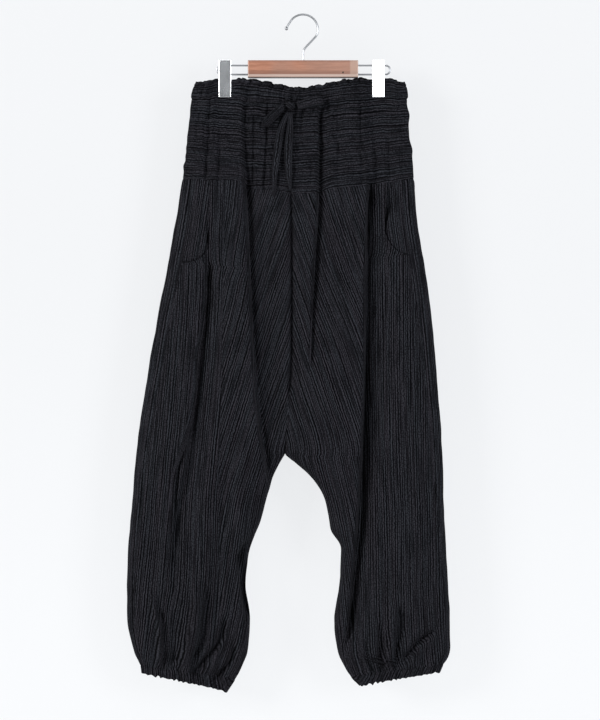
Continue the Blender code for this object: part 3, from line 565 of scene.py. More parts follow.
# How much of the pale each kind of thread adds, how they wander and crinkle (how many a metre,
# and how wide), how they crowd together, and how they fade in and out along their run
LINE_SHARES = (0.75, 0.6)
WANDERS = ((14.0, 0.0014), (150.0, 0.0018))
CROWDING = 7.0
CROWDS = (0.05, 0.36)
WAVE_SHOWS = (-0.4, 1.0)
RUN_NOISE = (0.9, 1.0, 0.6)
RUN_SHOWS = (0.32, 0.62)
RUN_LEAST = 0.35
GRAIN = (480.0, 0.9)
GRAIN_SHOWS = (0.3, 0.7)
PALE_CHANGES = (0.03, 150.0)
PALE_SHOWS = (0.35, 0.65)
GROUND_NOISE = (26.0, 3.0)
GROUND_SHOWS = (0.35, 0.75)
GROUND_WORN = (0.85, 1.15)
WEAVE_SCALES = {"X": 180.0, "Y": 210.0}
THREAD_RISE = 0.7
WEAVE_RISE = 0.5
THREAD = (0.008, 0.008, 0.010)

# Wood: its tones, among them painted shade at its edges and underside and a painted highlight on
# its lower bevel, its noises, and where along x and z the tones change, in metres
WOOD_DARK = (0.30, 0.125, 0.072)
WOOD_LIGHT = (0.41, 0.185, 0.115)
WOOD_WARM = (0.45, 0.19, 0.115)
WOOD_GREY = (0.24, 0.155, 0.125)
WOOD_PALE = (0.42, 0.31, 0.25)
# painted shade for the bar's top edge and lower face
WOOD_SHADED_EDGE = (0.15, 0.065, 0.045)
# painted highlight along the lower bevel
WOOD_HIGHLIGHT = (0.50, 0.38, 0.33)
# painted shade on the underside
WOOD_SHADE_BELOW = (0.03, 0.014, 0.011)
WOOD_STRETCH = 0.07
WOOD_GRAIN = (520.0, 4.0, 0.6)
WOOD_FIGURE = (60.0, 2.0, 0.5)
WOOD_CLOUDS = (17.0, 1.0, 0.5)
GREYS_ALONG = (-0.014, 0.016)
WORN_END = (0.0715, 0.0745)
# heights of the painted shade at the top edge and on the lower face
SHADED_TOP_HEIGHTS = (-0.0745, -0.0705)
SHADED_FACE_HEIGHTS = (-0.0900, -0.0830)
# heights of the painted highlight on the lower bevel
HIGHLIGHT_HEIGHTS = ((-0.0925, -0.0910), (-0.0960, -0.0952))
# heights of the painted shade on the underside
SHADE_BELOW_HEIGHTS = (-0.0966, -0.0956)

# Plated steel: its noises, and each plate's colour, run of scratches and least roughness
PLATE_LINES = (1400.0, 2.0, 0.5)
PLATE_PATCHES = (90.0, 2.0, 0.5)
PLATE_DULL = 0.93
WIRE_PLATE = ((0.33, 0.34, 0.36), 1.0, 0.36)
SHEET_PLATE = ((0.86, 0.88, 0.90), 0.05, 0.13)
SCREW_PLATE = ((0.16, 0.12, 0.10), 1.0, 0.13)

# The screw's profile as radius and height, and its slot's half width, depth and radius
SCREW_PLACE = (62.0, -6.5, -89.0)
SCREW_PROFILE = ((0.0, 0.35), (0.9, 0.32), (1.35, 0.18), (1.5, 0.0))
SCREW_SLOT = (0.28, 0.22, 1.4)
SCREW_SIDES = 20
HOOK_TIP_RADIUS = 2.6
HOOK_TIP_STRETCH = 1.2
HOOK_TIP_PLACE = (-25.6, 0.0, -20.0)

# Room, light and camera, in metres
WALL_Y = 0.052
WALL_COLOUR = (0.93, 0.945, 0.965)
WALL_LIT = 0.125
# the wall's glow is painted light, a little stronger towards its foot
WALL_GLOW = 0.808
WALL_FOOT_GLOW = 0.058
WALL_FOOT = (-1.1, -0.3)
WALL_TOP = 1.2
WALL_HALF_WIDTH = 1.6
FLOOR = -1.30
FLOOR_REACH = 4.0
FLOOR_COLOUR = (0.80, 0.80, 0.80)
WORLD_LIGHT = 0.20
WORLD_COLOUR = (0.94, 0.97, 1.0)
FILM = 36.0
CAMERA_AWAY = 3.53
VIEW_CENTRE = (-0.00465, -0.534)
VIEW_HEIGHT = 1.116
LIGHTS = [
    ("key", (-4.4, -3.0, 0.9), (0, 0, -0.5), (1.8, 1.8), 254.0, (1.0, 0.99, 0.97)),
    ("right_front", (0.62, -3.5, 0.35), (0.1, 0, -0.3), (0.9, 0.5), 6.0, (0.97, 0.98, 1.0)),
    ("right", (3.3, -2.8, 0.2), (0.1, 0, -0.6), (1.4, 1.8), 99.0, (0.98, 0.99, 1.0)),
    ("top", (0.3, -1.6, 1.8), (0, 0, -0.5), (1.6, 1.0), 14.0, (1, 1, 1)),
]


# ---------------------------------------------------------------- curves through tables


def along(table, column, at, steady=True):
    """Reads a table's column at any station, on a smooth curve that keeps to its rows' values."""
    stations = np.array([row[0] for row in table], float)
    values = np.array([row[column] for row in table], float)
    slopes = np.gradient(values, stations)
    if steady:
        rises = np.diff(values) / np.diff(stations)
        before, after = np.append(rises[0], rises), np.append(rises, rises[-1])
        limit = 3 * np.minimum(np.abs(before), np.abs(after)) * (before * after > 0)
        slopes = np.clip(slopes, -limit, limit)
    at = np.clip(at, stations[0], stations[-1])
    i = np.clip(np.searchsorted(stations, at, side="right") - 1, 0, len(stations) - 2)
    step = stations[i + 1] - stations[i]
    t = (at - stations[i]) / step
    return (
        values[i] * (1 + 2 * t) * (1 - t) ** 2
        + values[i + 1] * t * t * (3 - 2 * t)
        + step * t * (1 - t) * (slopes[i] * (1 - t) - slopes[i + 1] * t)
    )


def eased(t):
    """0 to 1 with a soft start and end."""
    t = np.clip(t, 0, 1)
    return t * t * (3 - 2 * t)


# ---------------------------------------------------------------- the cloth's outer face


def edges(side, station):
    above = station <= CROTCH
    inner_x = np.where(above, along(CENTRE, 1, station), along(INSEAMS[side], 1, station))
    inner_z = np.where(above, along(CENTRE, 2, station), along(INSEAMS[side], 2, station))
    return inner_x, inner_z, along(SIDES[side], 1, station), along(SIDES[side], 2, station)


def swell(share, station):
    into_crotch = np.clip((station - CROTCH + CROTCH_REACH) / CROTCH_REACH, 0, 1)
    at_centre = 1 - np.sqrt(1 - into_crotch**2)
    at_side = eased((station - LEG_ROUNDS_FROM) / LEG_ROUNDS_OVER)
    start, over = NEAR_CENTRE
    near_centre = eased((start - share) / over)
    closed = at_centre * near_centre + at_side * (1 - near_centre)
    half = np.clip(1 - share**ROUNDNESS, 0, 1) ** (1 / ROUNDNESS)
    leg = np.clip(1 - np.abs(2 * share - 1) ** ROUNDNESS, 0, 1) ** (1 / ROUNDNESS)
    return (1 - closed) * half + closed * leg


def fold_line(row):
    fold = dict(zip(FOLD_COLUMNS, row))
    return fold, [(-fold["z_" + k], fold["x_" + k]) for k in ("top", "mid", "foot")]


def sunk(folds, x, z):
    """How far the folds take a point inwards, and how far they slide it sideways."""
    depth, slide = np.zeros_like(x), np.zeros_like(x)
    for row in folds:
        fold, line = fold_line(row)
        away = x - along(line, 1, -z)
        width = np.where(away < 0, fold["toward_right"], fold["toward_left"])
        strength = eased((fold["z_top"] - z) / fold["fade_in"] + 0.5)
        strength = strength * eased((z - fold["z_foot"]) / fold["fade_out"] + 0.5)
        shape = strength * np.exp(-((away / width) ** 2))
        depth += fold["depth"] * shape
        slide += fold["lean"] * shape
    return depth, slide


def sag(station):
    """How the level lines bend from the centre or the inseam to the side: less at the hems."""
    start, fade = LEVEL_BEND_FADES
    return LEVEL_BEND - LEVEL_BEND_LOST * eased((station - start) / fade)


def halves(around):
    """Whether a place is on the front, and its share of the way from the centre to the side."""
    front = around <= 1
    return front, np.where(front, around, 2 - around)


def at_share(side, share, station):
    """The x and z of a place before any fold moves it, and how wide its half is there."""
    inner_x, inner_z, side_x, side_z = edges(side, station)
    x = inner_x + (side_x - inner_x) * share
    z = inner_z + (side_z - inner_z) * share ** sag(station)
    return x, z, np.abs(side_x - inner_x)


def waist_arch(x, station):
    """The waist stands higher on both sides of its middle, where the clips hold it up."""
    middle, reach = WAIST_ARCH_DIP
    end, fade = WAIST_ARCH_ENDS
    arch = WAIST_ARCH * (1 - np.exp(-(((x - middle) / reach) ** 2)))
    return arch * eased((end - np.abs(x)) / fade) * np.exp(-station / WAIST_ARCH_DROP)


def pinch(x, station):
    """How hard the clips press a point: 1 between their plates, 0 well away from them."""
    reach = eased((PINCH_GONE - station) / (PINCH_GONE - PINCH_FULL))
    pressed = sum(np.exp(-(((x - c) / PINCH_HALF_WIDTH) ** 4)) for c in CLIP_CENTRES.values())
    return np.clip(pressed, 0, 1) * reach


def gathers(around, count):
    return np.cos(2 * np.pi * count * (around + GATHER_DRIFT * np.sin(3 * np.pi * around)))


def skin(side, around, station):
    """A point of the cloth's outer face before its finer form is added.

    around runs from 0 at the centre front or the inseam, through 1 at the side edge, to 2 at
    the centre back or the inseam again.
    """
    around, station = np.broadcast_arrays(np.asarray(around, float), np.asarray(station, float))
    front, share = halves(around)
    x, z, _ = at_share(side, share, station)

    full = np.where(front, along(DEPTHS, 1, station), along(DEPTHS, 2, station))
    rise = swell(share, station)
    sinks, slides = zip(sunk(FRONT_FOLDS, x, z), sunk(BACK_FOLDS, x, z))
    sink, slide = np.where(front, *sinks), np.where(front, *slides)
    pressed = pinch(x, station)
    depth = full * rise * (1 - sink / FOLDED_DEPTH)
    depth = depth * (1 - pressed) + (BAND_WALL + SEAM_GAP / 2) * pressed

    wave = gathers(share, WAIST_GATHERS) * along(WAIST_GATHER_HEIGHTS, 1, station)
    wave = wave + gathers(around, CUFF_GATHERS) * along(CUFF_GATHER_HEIGHTS, 1, station)
    wave = wave * (1 - pressed)
    facing = np.clip(FACING_GAIN * rise, 0, 1)
    depth = depth + wave * facing * (depth > 0)
    sideways = OUTWARD[side] * np.where(share < 0.5, -1.0 * (station > CROTCH), 1)
    x = x + slide * rise * (1 - pressed) + sideways * wave * (1 - facing)
    z = z + PINCH_LIFT * pressed * np.exp(-station / PINCH_LIFT_FADE)
    ruffle = np.clip(1 - station / RUFFLE_DROP, 0, 1)
    heading = RUFFLE_RISE * ruffle * gathers(share + RUFFLE_SHIFT, RUFFLES)
    z = z + (heading + waist_arch(x, station)) * (1 - pressed)
    y = np.where(front, -1, 1) * np.maximum(depth, 0)
    return np.stack([x, y, z], axis=-1)


def side_seam(station):
    return along(SIDE_SEAM, 1, station)


def pocket_edge(side, station):
    """The share where the leg's front ends: the pocket's opening, then the side seam."""
    turn_from, foot = POCKET_TURN[side], POCKET_FOOT[side]
    turn = np.clip((station - turn_from) / (foot - turn_from), 0, 1)
    down = along(POCKET_EDGE[side], 1, np.minimum(station, turn_from))
    return down + (side_seam(station) - down) * (1 - np.sqrt(1 - turn**2))


# ---------------------------------------------------------------- the finer form of the cloth


def creased(rows, x, z):
    """How deep the creases of a table are at each point."""
    depth = np.zeros_like(x)
    fade, tip = CREASE_ENDS
    for x0, z0, x1, z1, bow, deep, width in rows:
        dx, dz = x1 - x0, z1 - z0
        length = math.hypot(dx, dz)
        t = ((x - x0) * dx + (z - z0) * dz) / length**2
        off = ((x - x0) * dz - (z - z0) * dx) / length
        inside = np.clip(t, 0, 1)
        off = off - 4 * bow * inside * (1 - inside)
        ends = eased(t / fade + tip) * eased((1 - t) / fade + tip)
        depth += deep * ends * np.exp(-((off / width) ** 2))
    return depth


def tucked(tucks, x, z):
    """How deep the tucks are at each point: a step on one side, a soft rise on the other."""
    depth = np.zeros_like(x)
    for deep, step, soft, line in tucks.values():
        away = x - along(line, 1, -z)
        width = np.where(away < 0, step, soft)
        top, foot = line[0][0], line[-1][0]
        ends = eased((-z - top) / TUCK_FADE + 0.5) * eased((foot + z) / TUCK_FADE + 0.5)
        depth += deep * ends * np.exp(-((away / width) ** 2))
    return depth


def crumpled(x, z, seed):
    """Soft uneven waves, mostly up and down the cloth."""
    count, shortest, longest, height = CRUMPLE
    rng = np.random.default_rng(seed)
    total = np.zeros_like(x)
    for _ in range(count):
        wave = shortest * (longest / shortest) ** rng.random()
        tilt = rng.normal(0, CRUMPLE_TILT)
        phase = rng.random() * 2 * np.pi
        place = x * math.cos(tilt) + z * math.sin(tilt)
        total += np.sin(2 * np.pi * place / wave + phase) * (wave / longest) ** CRUMPLE_FALL
    return height * total / math.sqrt(count / 2)


def pleated(name, front, share, distance, code):
    """Troughs that hang from, or stand up from, a gathered seam at places of their own."""
    count, shortest, longest, depth, *seeds = PLEATS[name]
    narrow, widens = PLEAT_HALF_WIDTHS
    faces = []
    for seed in seeds:
        rng = np.random.default_rng(seed + code)
        total = np.zeros_like(share)
        for k in range(count):
            place = (k + 0.5 + rng.uniform(-PLEAT_PLACES, PLEAT_PLACES)) / count
            reach = shortest + (longest - shortest) * rng.random() ** 2
            deep = depth * rng.uniform(*PLEAT_DEPTHS)
            drift = rng.uniform(-PLEAT_DRIFT, PLEAT_DRIFT) / count
            t = np.clip(distance / reach, 0, 1)
            half = (narrow + widens * t) / count
            total += deep * (1 - eased(t)) * np.exp(-(((share - place - drift * t) / half) ** 2))
        faces.append(total)
    return np.where(front, *faces)


def valley(distance):
    return SEAM_VALLEY * np.exp(-((distance / SEAM_WIDTH) ** 2))


def relief(side, around, station):
    """How far the finer form stands out of the skin, in millimetres."""
    around, station = np.broadcast_arrays(np.asarray(around, float), np.asarray(station, float))
    front, share = halves(around)
    x, z, width = at_share(side, share, station)
    code = SIDE_NAMES.index(side)
    pressed = pinch(x, station)

    creases = np.where(front, creased(FRONT_CREASES, x, z), creased(BACK_CREASES, x, z))
    soft = np.where(front, *(crumpled(x, z, seed) for seed in CRUMPLE_SEEDS))
    below_band = eased((station - BAND_FOOT) / BAND_FADE)
    out = soft * below_band * eased((CUFF_TOP - station) / CUFF_FADE) - creases
    (wide, long_wave), (narrow, short_wave) = RIPPLE_WANDERS
    drift = wide * np.sin(z / long_wave + code) + narrow * np.sin(z / short_wave)
    ripple = sum(np.cos(2 * np.pi * (x + drift) / pitch + k) for k, pitch in enumerate(RIPPLES))
    on_yoke = below_band * eased((YOKE_FOOT - station) / RIPPLE_FADE + 0.5)
    out = out + RIPPLE_HEIGHT * ripple * on_yoke

    yoke = pleated("yoke", front, share, np.abs(station - BAND_FOOT), code)
    seam = pleated("seam", front, share, np.abs(station - YOKE_FOOT), code)
    cuff = pleated("cuff", front, share, CUFF_TOP - station, code)
    cuff_ring = pleated("cuff_ring", front, share, np.zeros_like(station), code)
    out = out - yoke * (station >= BAND_FOOT) - seam * (station > SEAM_PLEATS_FROM)
    out = out - cuff * (station > CUFF_PLEATS_FROM) * (station <= CUFF_TOP)
    out = out - cuff_ring * (station > CUFF_TOP)

    heading = np.clip(1 - station / HEADING_FOOT, 0, 1)
    size, rate = FINE_RUFFLE_DRIFT
    fine_place = FINE_RUFFLES * (share + size * np.sin(rate * share))
    fine = np.cos(2 * np.pi * fine_place + FINE_RUFFLE_TURN * heading)
    in_band = eased((BAND_FOOT + BAND_OVERLAP - station) / BAND_FADE)
    out = out + fine * FINE_RUFFLE_HEIGHT * in_band * (FINE_RUFFLE_LEAST + heading)
    middle = (HEADING_FOOT + BAND_FOOT) / 2
    puff = np.clip(1 - ((station - middle) / (BAND_FOOT - middle)) ** 2, 0, 1)
    out = out + BAND_PUFF * puff
    out = out * (1 - pressed)

    for seam_at in (HEADING_FOOT, BAND_FOOT, YOKE_FOOT, CUFF_TOP):
        out = out - valley(station - seam_at) * (1 - pressed)
    below = station > YOKE_FOOT
    out = out - valley(share * width) * below
    out = out - valley((around - side_seam(station)) * width)
    joined = joining(share * width, station)
    return out * (1 - joined) + SEAM_GAP / 2 * joined


def joining(from_seam, station):
    """1 where the front and the back meet above the crotch, and 0 away from there."""
    closing = np.clip((station - CROTCH + CROTCH_REACH) / CROTCH_REACH, 0, 1)
    near = np.exp(-((from_seam / JOINING_REACH) ** 2))
    return eased(4 * closing) * (station <= CROTCH) * near


def tucked_in(side, around, station):
    """How far the tucks take the front straight inwards."""
    front, share = halves(around)
    x, z, width = at_share(side, share, station)
    held = (1 - pinch(x, station)) * (1 - joining(share * width, station))
    at_edge = eased(swell(share, station) * TUCKS_REACH_EDGE)
    return tucked(FRONT_TUCKS, x, z) * held * at_edge * front


def surface(side, around, station):
    """Points of the finished cloth, and the direction out of it at each."""
    around, station = np.broadcast_arrays(np.asarray(around, float), np.asarray(station, float))
    small, step = 2e-4, 0.3
    after, before = np.minimum(around + small, 2), np.maximum(around - small, 0)
    lower, upper = np.minimum(station + step, HEM), np.maximum(station - step, WAIST_TOP)
    across = skin(side, after, station) - skin(side, before, station)
    down = skin(side, around, lower) - skin(side, around, upper)
    normals = np.cross(across, down) * -OUTWARD[side]
    front, share = halves(around)
    _, _, width = at_share(side, share, station)
    straight = np.exp(-((share * width / SEAM_STRAIGHTENS) ** 2)) * (station <= CROTCH)
    normals[..., 0] *= 1 - straight
    size = np.linalg.norm(normals, axis=-1, keepdims=True)
    normals = normals / np.maximum(size, 1e-9)
    points = skin(side, around, station)
    points[..., 2] += edge_ruffles(side, around, station)
    near_seam = np.exp(-(((station - YOKE_FOOT) / SEAM_SHIFT_REACH) ** 2)) * front
    points[..., 2] += along(SEAM_SHIFTS, 1, points[..., 0]) * near_seam
    points[..., 1] += tucked_in(side, around, station)
    return points + normals * relief(side, around, station)[..., None], normals


def edge_ruffles(side, around, station):
    """The small uneven rises and falls of the waist's very edge, and of the hems'."""
    _, share = halves(around)
    code = SIDE_NAMES.index(side)
    drift = sum(size * np.sin(rate * share + turn * code) for size, rate, turn in EDGE_DRIFTS)
    wave = np.cos(2 * np.pi * EDGE_RUFFLES * (share + drift))
    least, varies, rate, turn = EDGE_UNEVEN
    uneven = least + varies * np.sin(rate * share + turn * code)
    low = np.clip(1 - station / HEADING_FOOT, 0, 1)
    x, _, _ = at_share(side, share, station)
    waist = wave * low * (1 - pinch(x, station))
    at_hem = np.clip((station - CUFF_TOP) / (HEM - CUFF_TOP), 0, 1) ** 1.5
    small, rate = HEM_SMALL_RUFFLES
    hem = np.cos(2 * np.pi * HEM_RUFFLES * (around + drift))
    hem = hem + small * np.cos(rate * around + 2 * code)
    return EDGE_RUFFLE_RISE * uneven * (waist + HEM_RUFFLE_GAIN * hem * at_hem)


# ---------------------------------------------------------------- the run of the stripes


def arc_across(side, around, station, x):
    """Distance across the cloth, with what it turns away at the sides."""
    front, share = halves(around)
    _, _, side_x, _ = edges(side, station)
    rise = swell(share, station)
    front_full, back_full = along(DEPTHS, 1, station), along(DEPTHS, 2, station)
    turned = OUTWARD[side] * TURNED_AWAY
    on_front = x - side_x + turned * front_full * (1 - rise)
    on_back = side_x - x + turned * (front_full + back_full * rise)
    return np.where(front, on_front, on_back), side_x


def across_cloth(side, face, around, station):
    """Distance over the cloth's folds, counted from the side and from the centre, as an x."""
    points = skin(side, around, station)
    outward = OUTWARD[side]
    arc, side_x = arc_across(side, around, station, points[..., 0])
    steps = np.linalg.norm(np.diff(points, axis=1), axis=-1)
    gone = np.concatenate([np.zeros_like(steps[:, :1]), np.cumsum(steps, axis=1)], axis=1)
    if face == "front":
        from_side = (arc + side_x)[:, -1:] - outward * (gone[:, -1:] - gone)
        from_centre = points[:, :1, 0] + outward * gone
    else:
        from_side = arc[:, :1] + outward * gone
        from_centre = points[:, -1:, 0] + outward * (gone[:, -1:] - gone)
    return points, from_side, from_centre


def runs(side, face, around, station):
    """The stripes' two coordinates for each region of a leg, and the region of each point."""
    outward = OUTWARD[side]
    points, from_side, from_centre = across_cloth(side, face, around, station)
    place, down = points[..., 0], -points[..., 2]
    bias = along(BIAS_RUN, 1, down) * outward
    if face == "back":
        thigh_line = fold_line(BACK_FOLDS[BACK_THIGH_FOLDS[side]])[1]
        region = np.where((place - along(thigh_line, 1, down)) * outward > 0, 0, 2)
        region = np.where(around < 1, 0, region)
        return [(from_side, down), (from_side, down), (bias - from_centre, down)], region
    flat, high, _ = at_share(side, halves(around)[1], station)
    near_cuff = eased((station - BENDS_FROM) / BENDS_OVER)
    bend = tucked(FRONT_TUCKS, flat, high) * (BEND_IN_TUCKS + near_cuff * BEND_AT_CUFFS)
    inner = from_centre - bias + bend
    thigh_line = FRONT_TUCKS["thigh_" + side][3]
    past_thigh = (flat - along(thigh_line, 1, -high)) * outward > -LINE_REACH
    if side == "left":
        outer = from_side + bend - along(LEFT_OUTER_RUN, 1, down)
        maps, region = [(outer, down), (outer, down), (inner, down)], np.where(past_thigh, 0, 2)
        return with_steps(side, maps, region, flat, -high, from_centre)
    outer = from_side + bend - along(RIGHT_OUTER_RUN, 1, down)
    middle = from_side + bend - along(RIGHT_MIDDLE_RUN, 1, down)
    past_hip = flat - along(RIGHT_HIP_LINE, 1, -high) < LINE_REACH
    region = np.where(past_hip, 0, np.where(past_thigh, 1, 2))
    maps = [(outer, down), (middle, down), (inner, down)]
    return with_steps(side, maps, region, flat, -high, from_centre)


def with_steps(side, maps, region, flat, level, from_centre):
    """Adds a map for the step of each main tuck, where the stripes run along its line."""
    outward = OUTWARD[side]
    for name in CRISP_TUCKS[side]:
        deep, _, _, line = FRONT_TUCKS[name]
        if deep < STEP_FROM_DEPTH:
            continue
        away = flat - along(line, 1, level)
        at_line = [np.interp(0, a * outward, c) for a, c in zip(away, from_centre)]
        from_line = from_centre - np.array(at_line)[:, None]
        inside = (away > -STEP_RUN) & (away < -LINE_REACH * outward)
        inside = inside & (level > line[0][0]) & (level < line[-1][0])
        region = np.where(inside, len(maps), region)
        maps = maps + [(from_line, level)]
    return maps, region


def level_runs(side, around, station):
    """The stripes' coordinates where they run level, round the waist and the hips."""
    shape = skin(side, around, station)
    x = shape[..., 0]
    front = np.broadcast_to(around, x.shape) <= 1
    sink, _ = sunk(FRONT_FOLDS, x, shape[..., 2])
    wander = sum(height * np.sin(x / wave + turn) for height, wave, turn in LEVEL_WANDERS)
    level = np.broadcast_to(station, x.shape) + wander - LEVEL_SINK * sink * front
    turn = np.where(front, x, BACK_TURN - x)
    return [(level, turn)], np.zeros(x.shape, int)


# ---------------------------------------------------------------- meshes


def placed(name, data):
    made = bpy.data.objects.new(name, data)
    bpy.context.scene.collection.objects.link(made)
    return made


def new_object(name, mesh, finish):
    made = placed(name, mesh)
    mesh.materials.append(finish)
    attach(made, "root")
    return made


def new_mesh(name, vertices, faces, uv):
    """A smooth mesh from points in millimetres, with its stripes' map and its faces outwards."""
    mesh = bpy.data.meshes.new(name)
    mesh.from_pydata((vertices * MM).tolist(), [], faces)
    layer = mesh.uv_layers.new(name="cloth")
    layer.data.foreach_set("uv", (uv * MM).astype(np.float32).reshape(-1))
    work = bmesh.new()
    work.from_mesh(mesh)
    bmesh.ops.recalc_face_normals(work, faces=work.faces)
    work.to_mesh(mesh)
    work.free()
    mesh.shade_smooth()
    return mesh


def lengths_along(points):
    """How far each point is along a line of points."""
    steps = np.linalg.norm(np.diff(points, axis=0), axis=1)
    return np.concatenate([[0], np.cumsum(steps)])


def add_shell(name, points, normals, thickness, runs_of, finish):
    """A thin shell of cloth: its outer face, its inner face, its rim and its stripes' map."""
    rows, columns = points.shape[:2]
    count = rows * columns
    index = np.arange(count).reshape(rows, columns)
    corners = [index[:-1, :-1], index[:-1, 1:], index[1:, 1:], index[1:, :-1]]
    quads = np.stack(corners, axis=-1).reshape(-1, 4)
    loop = np.concatenate([index[0, :-1], index[:-1, -1], index[-1, :0:-1], index[:0:-1, 0]])
    after = np.roll(loop, -1)
    rim = np.stack([after, loop, loop + count, after + count], axis=-1)
    faces = np.concatenate([quads, quads[:, ::-1] + count, rim])
    inner = points - normals * thickness
    vertices = np.concatenate([points.reshape(-1, 3), inner.reshape(-1, 3)])

    maps, region = runs_of
    across = np.stack([np.broadcast_to(a, region.shape).reshape(-1) for a, _ in maps])
    down = np.stack([np.broadcast_to(b, region.shape).reshape(-1) for _, b in maps])
    corner_region = region.reshape(-1)
    first = corner_region[quads[:, 0]]
    quad_region = np.concatenate([first, first, corner_region[loop]])
    flat = faces % count
    spread = np.repeat(quad_region[:, None], 4, axis=1)
    uv = np.stack([across[spread, flat], down[spread, flat]], axis=-1)
    mesh = new_mesh(name, vertices, faces.tolist(), uv)
    mesh.set_sharp_from_angle(angle=math.radians(SHARP_ANGLE))
    return new_object(name, mesh, finish)


def front_edge(side, station):
    """The share where a leg's front ends: at its pocket's opening or at the side seam."""
    return np.minimum(pocket_edge(side, station), side_seam(station))


def wrapped(station, count):
    """Columns of points from the side seam on, closer together where they near the side."""
    start = side_seam(station)
    return start + (1 - start) * np.sin(np.linspace(0, np.pi / 2, count))[None, :-1]


def straight_runs(side, around, station, points):
    """The stripes' coordinates where they run straight down."""
    arc, _ = arc_across(side, around, station, points[..., 0])
    return [(arc, -points[..., 2])], np.zeros(arc.shape, int)


def leg_grid(side, face):
    """The round-the-body and downward coordinates of a leg's front or back."""
    stations = np.linspace(YOKE_FOOT, CUFF_TOP, LEG_ROWS)
    if face == "front":
        start, foot = POCKET_TURN[side], POCKET_FOOT[side]
        turn = start + (foot - start) * np.sin(np.linspace(0, np.pi / 2, POCKET_TURN_ROWS))
        clear = (stations < start) | (stations > foot)
        stations = np.unique(np.concatenate([stations[clear], turn, [foot + 1.0]]))
    station = stations[:, None]
    if face == "front":
        middle = POCKET_INNER_SHARE
        inner = middle * half_eased(LEG_COLUMNS, station)
        steps = np.linspace(0, 1, POCKET_COLUMNS)[None, 1:]
        outer = middle + (front_edge(side, station) - middle) * steps
        return drawn_to_tucks(side, np.concatenate([inner, outer], axis=1), station), station
    back = 2 - half_eased(BACK_LEG_COLUMNS, station)[:, ::-1]
    wrap = wrapped(station, LEG_WRAP_COLUMNS)
    return np.concatenate([wrap, back * np.ones_like(station)], axis=1), station


def drawn_to_tucks(side, around, station):
    """Moves a leg's columns of points onto the lines of its main tucks, to keep them crisp."""
    inner_x, inner_z, side_x, side_z = (e[:, 0] for e in edges(side, station))
    level = station[:, 0]
    columns = np.arange(around.shape[1])
    offsets = CRISP_OFFSETS if side == "left" else CRISP_OFFSETS[::-1]
    places, moves = [0], [np.zeros_like(level)]
    for name in CRISP_TUCKS[side]:
        line = FRONT_TUCKS[name][3]
        share = np.full_like(level, CRISP_START)
        for _ in range(CRISP_PASSES):
            z = inner_z + (side_z - inner_z) * share ** sag(level)
            share = np.clip((along(line, 1, -z) - inner_x) / (side_x - inner_x), *CRISP_SHARES)
        top, foot = line[0][0], line[-1][0]
        inside = (top < -z) & (-z < foot)
        held = eased((foot + z) / CRISP_FADE + 1) * eased((-z - top) / CRISP_FADE + 1)
        middle = int(np.abs(around.mean(axis=0) - share[inside].mean()).argmin())
        for k, away in enumerate(offsets):
            column = middle + k - len(offsets) // 2
            places.append(column)
            moves.append(held * (share + away / (side_x - inner_x) - around[:, column]))
    order = np.argsort(places)
    places = np.array(places + [columns[-1]])[np.append(order, len(places))]
    moves = np.array(moves + [np.zeros_like(level)])[np.append(order, len(moves))]
    moved = np.stack([np.interp(columns, places, row) for row in moves.T])
    return np.maximum.accumulate(np.clip(around + moved, 0, None), axis=1)


def half_eased(count, station):
    """0 to 1 in even steps, crowded where a round edge starts at 0 and, at a share of 1, ends."""
    even = np.linspace(0, 1, count)[None, :]
    low = even**CROWDED
    high = 1 - (1 - even) ** CROWDED
    mixed = low * (1 - even) + high * even
    return 0.5 * (even + mixed) * np.ones_like(station)


def add_legs(finish):
    for side in SIDE_NAMES:
        for face in ("front", "back"):
            around, station = leg_grid(side, face)
            points, normals = surface(side, around, station)
            if face == "front":
                points = points + normals * pocket_lip(side, around, station)[..., None]
            made = add_shell(
                f"pants_leg_{face}_{side}", points, normals, SHELL,
                runs(side, face, around, station), finish,
            )
            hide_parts(f"leg_{face}_{side}")
        add_pocket_bag(side, finish)


def pocket_lip(side, around, station):
    """The turned and stitched edge of the pocket's opening, a little proud and puckered."""
    off = (front_edge(side, station) - around) * LEG_WIDTH
    on_edge = (station < POCKET_FOOT[side]) * eased((station - YOKE_FOOT) / LIP_STARTS_OVER)
    lip = eased((LIP_WIDTH - off) / LIP_SLOPE) * on_edge
    wave, bends, slow = LIP_PUCKER_WAVES
    pucker = LIP_PUCKER * np.sin(station / wave + bends * np.sin(station / slow))
    low = eased((station - LIP_PUCKERS_FROM) / LIP_PUCKERS_OVER)
    rounded = LIP_LOW_RISE * eased(1 - off / LIP_WIDTH)
    return lip * (LIP_RISE + (pucker + rounded) * low)


def innermost(side, around, station):
    """The y of the cloth where it sinks deepest, tucks and all, just around each point."""
    beside = np.linspace(*SEARCH_BESIDE)[:, None, None, None]
    below = np.linspace(*SEARCH_BELOW)[:, None, None]
    wide = np.clip(around + beside, 0, 1)
    high = np.maximum(station + below, YOKE_FOOT)
    near = skin(side, wide, high)
    return (near[..., 1] + tucked(FRONT_TUCKS, near[..., 0], near[..., 2])).max(axis=(0, 1))


def pocket_gape(side, station):
    """How far past the opening's edge the piece behind it starts to rise to the leg's face."""
    rest, most, place, reach = POCKET_GAPE[side]
    return rest + most * np.exp(-(((station - place) / reach) ** 2))


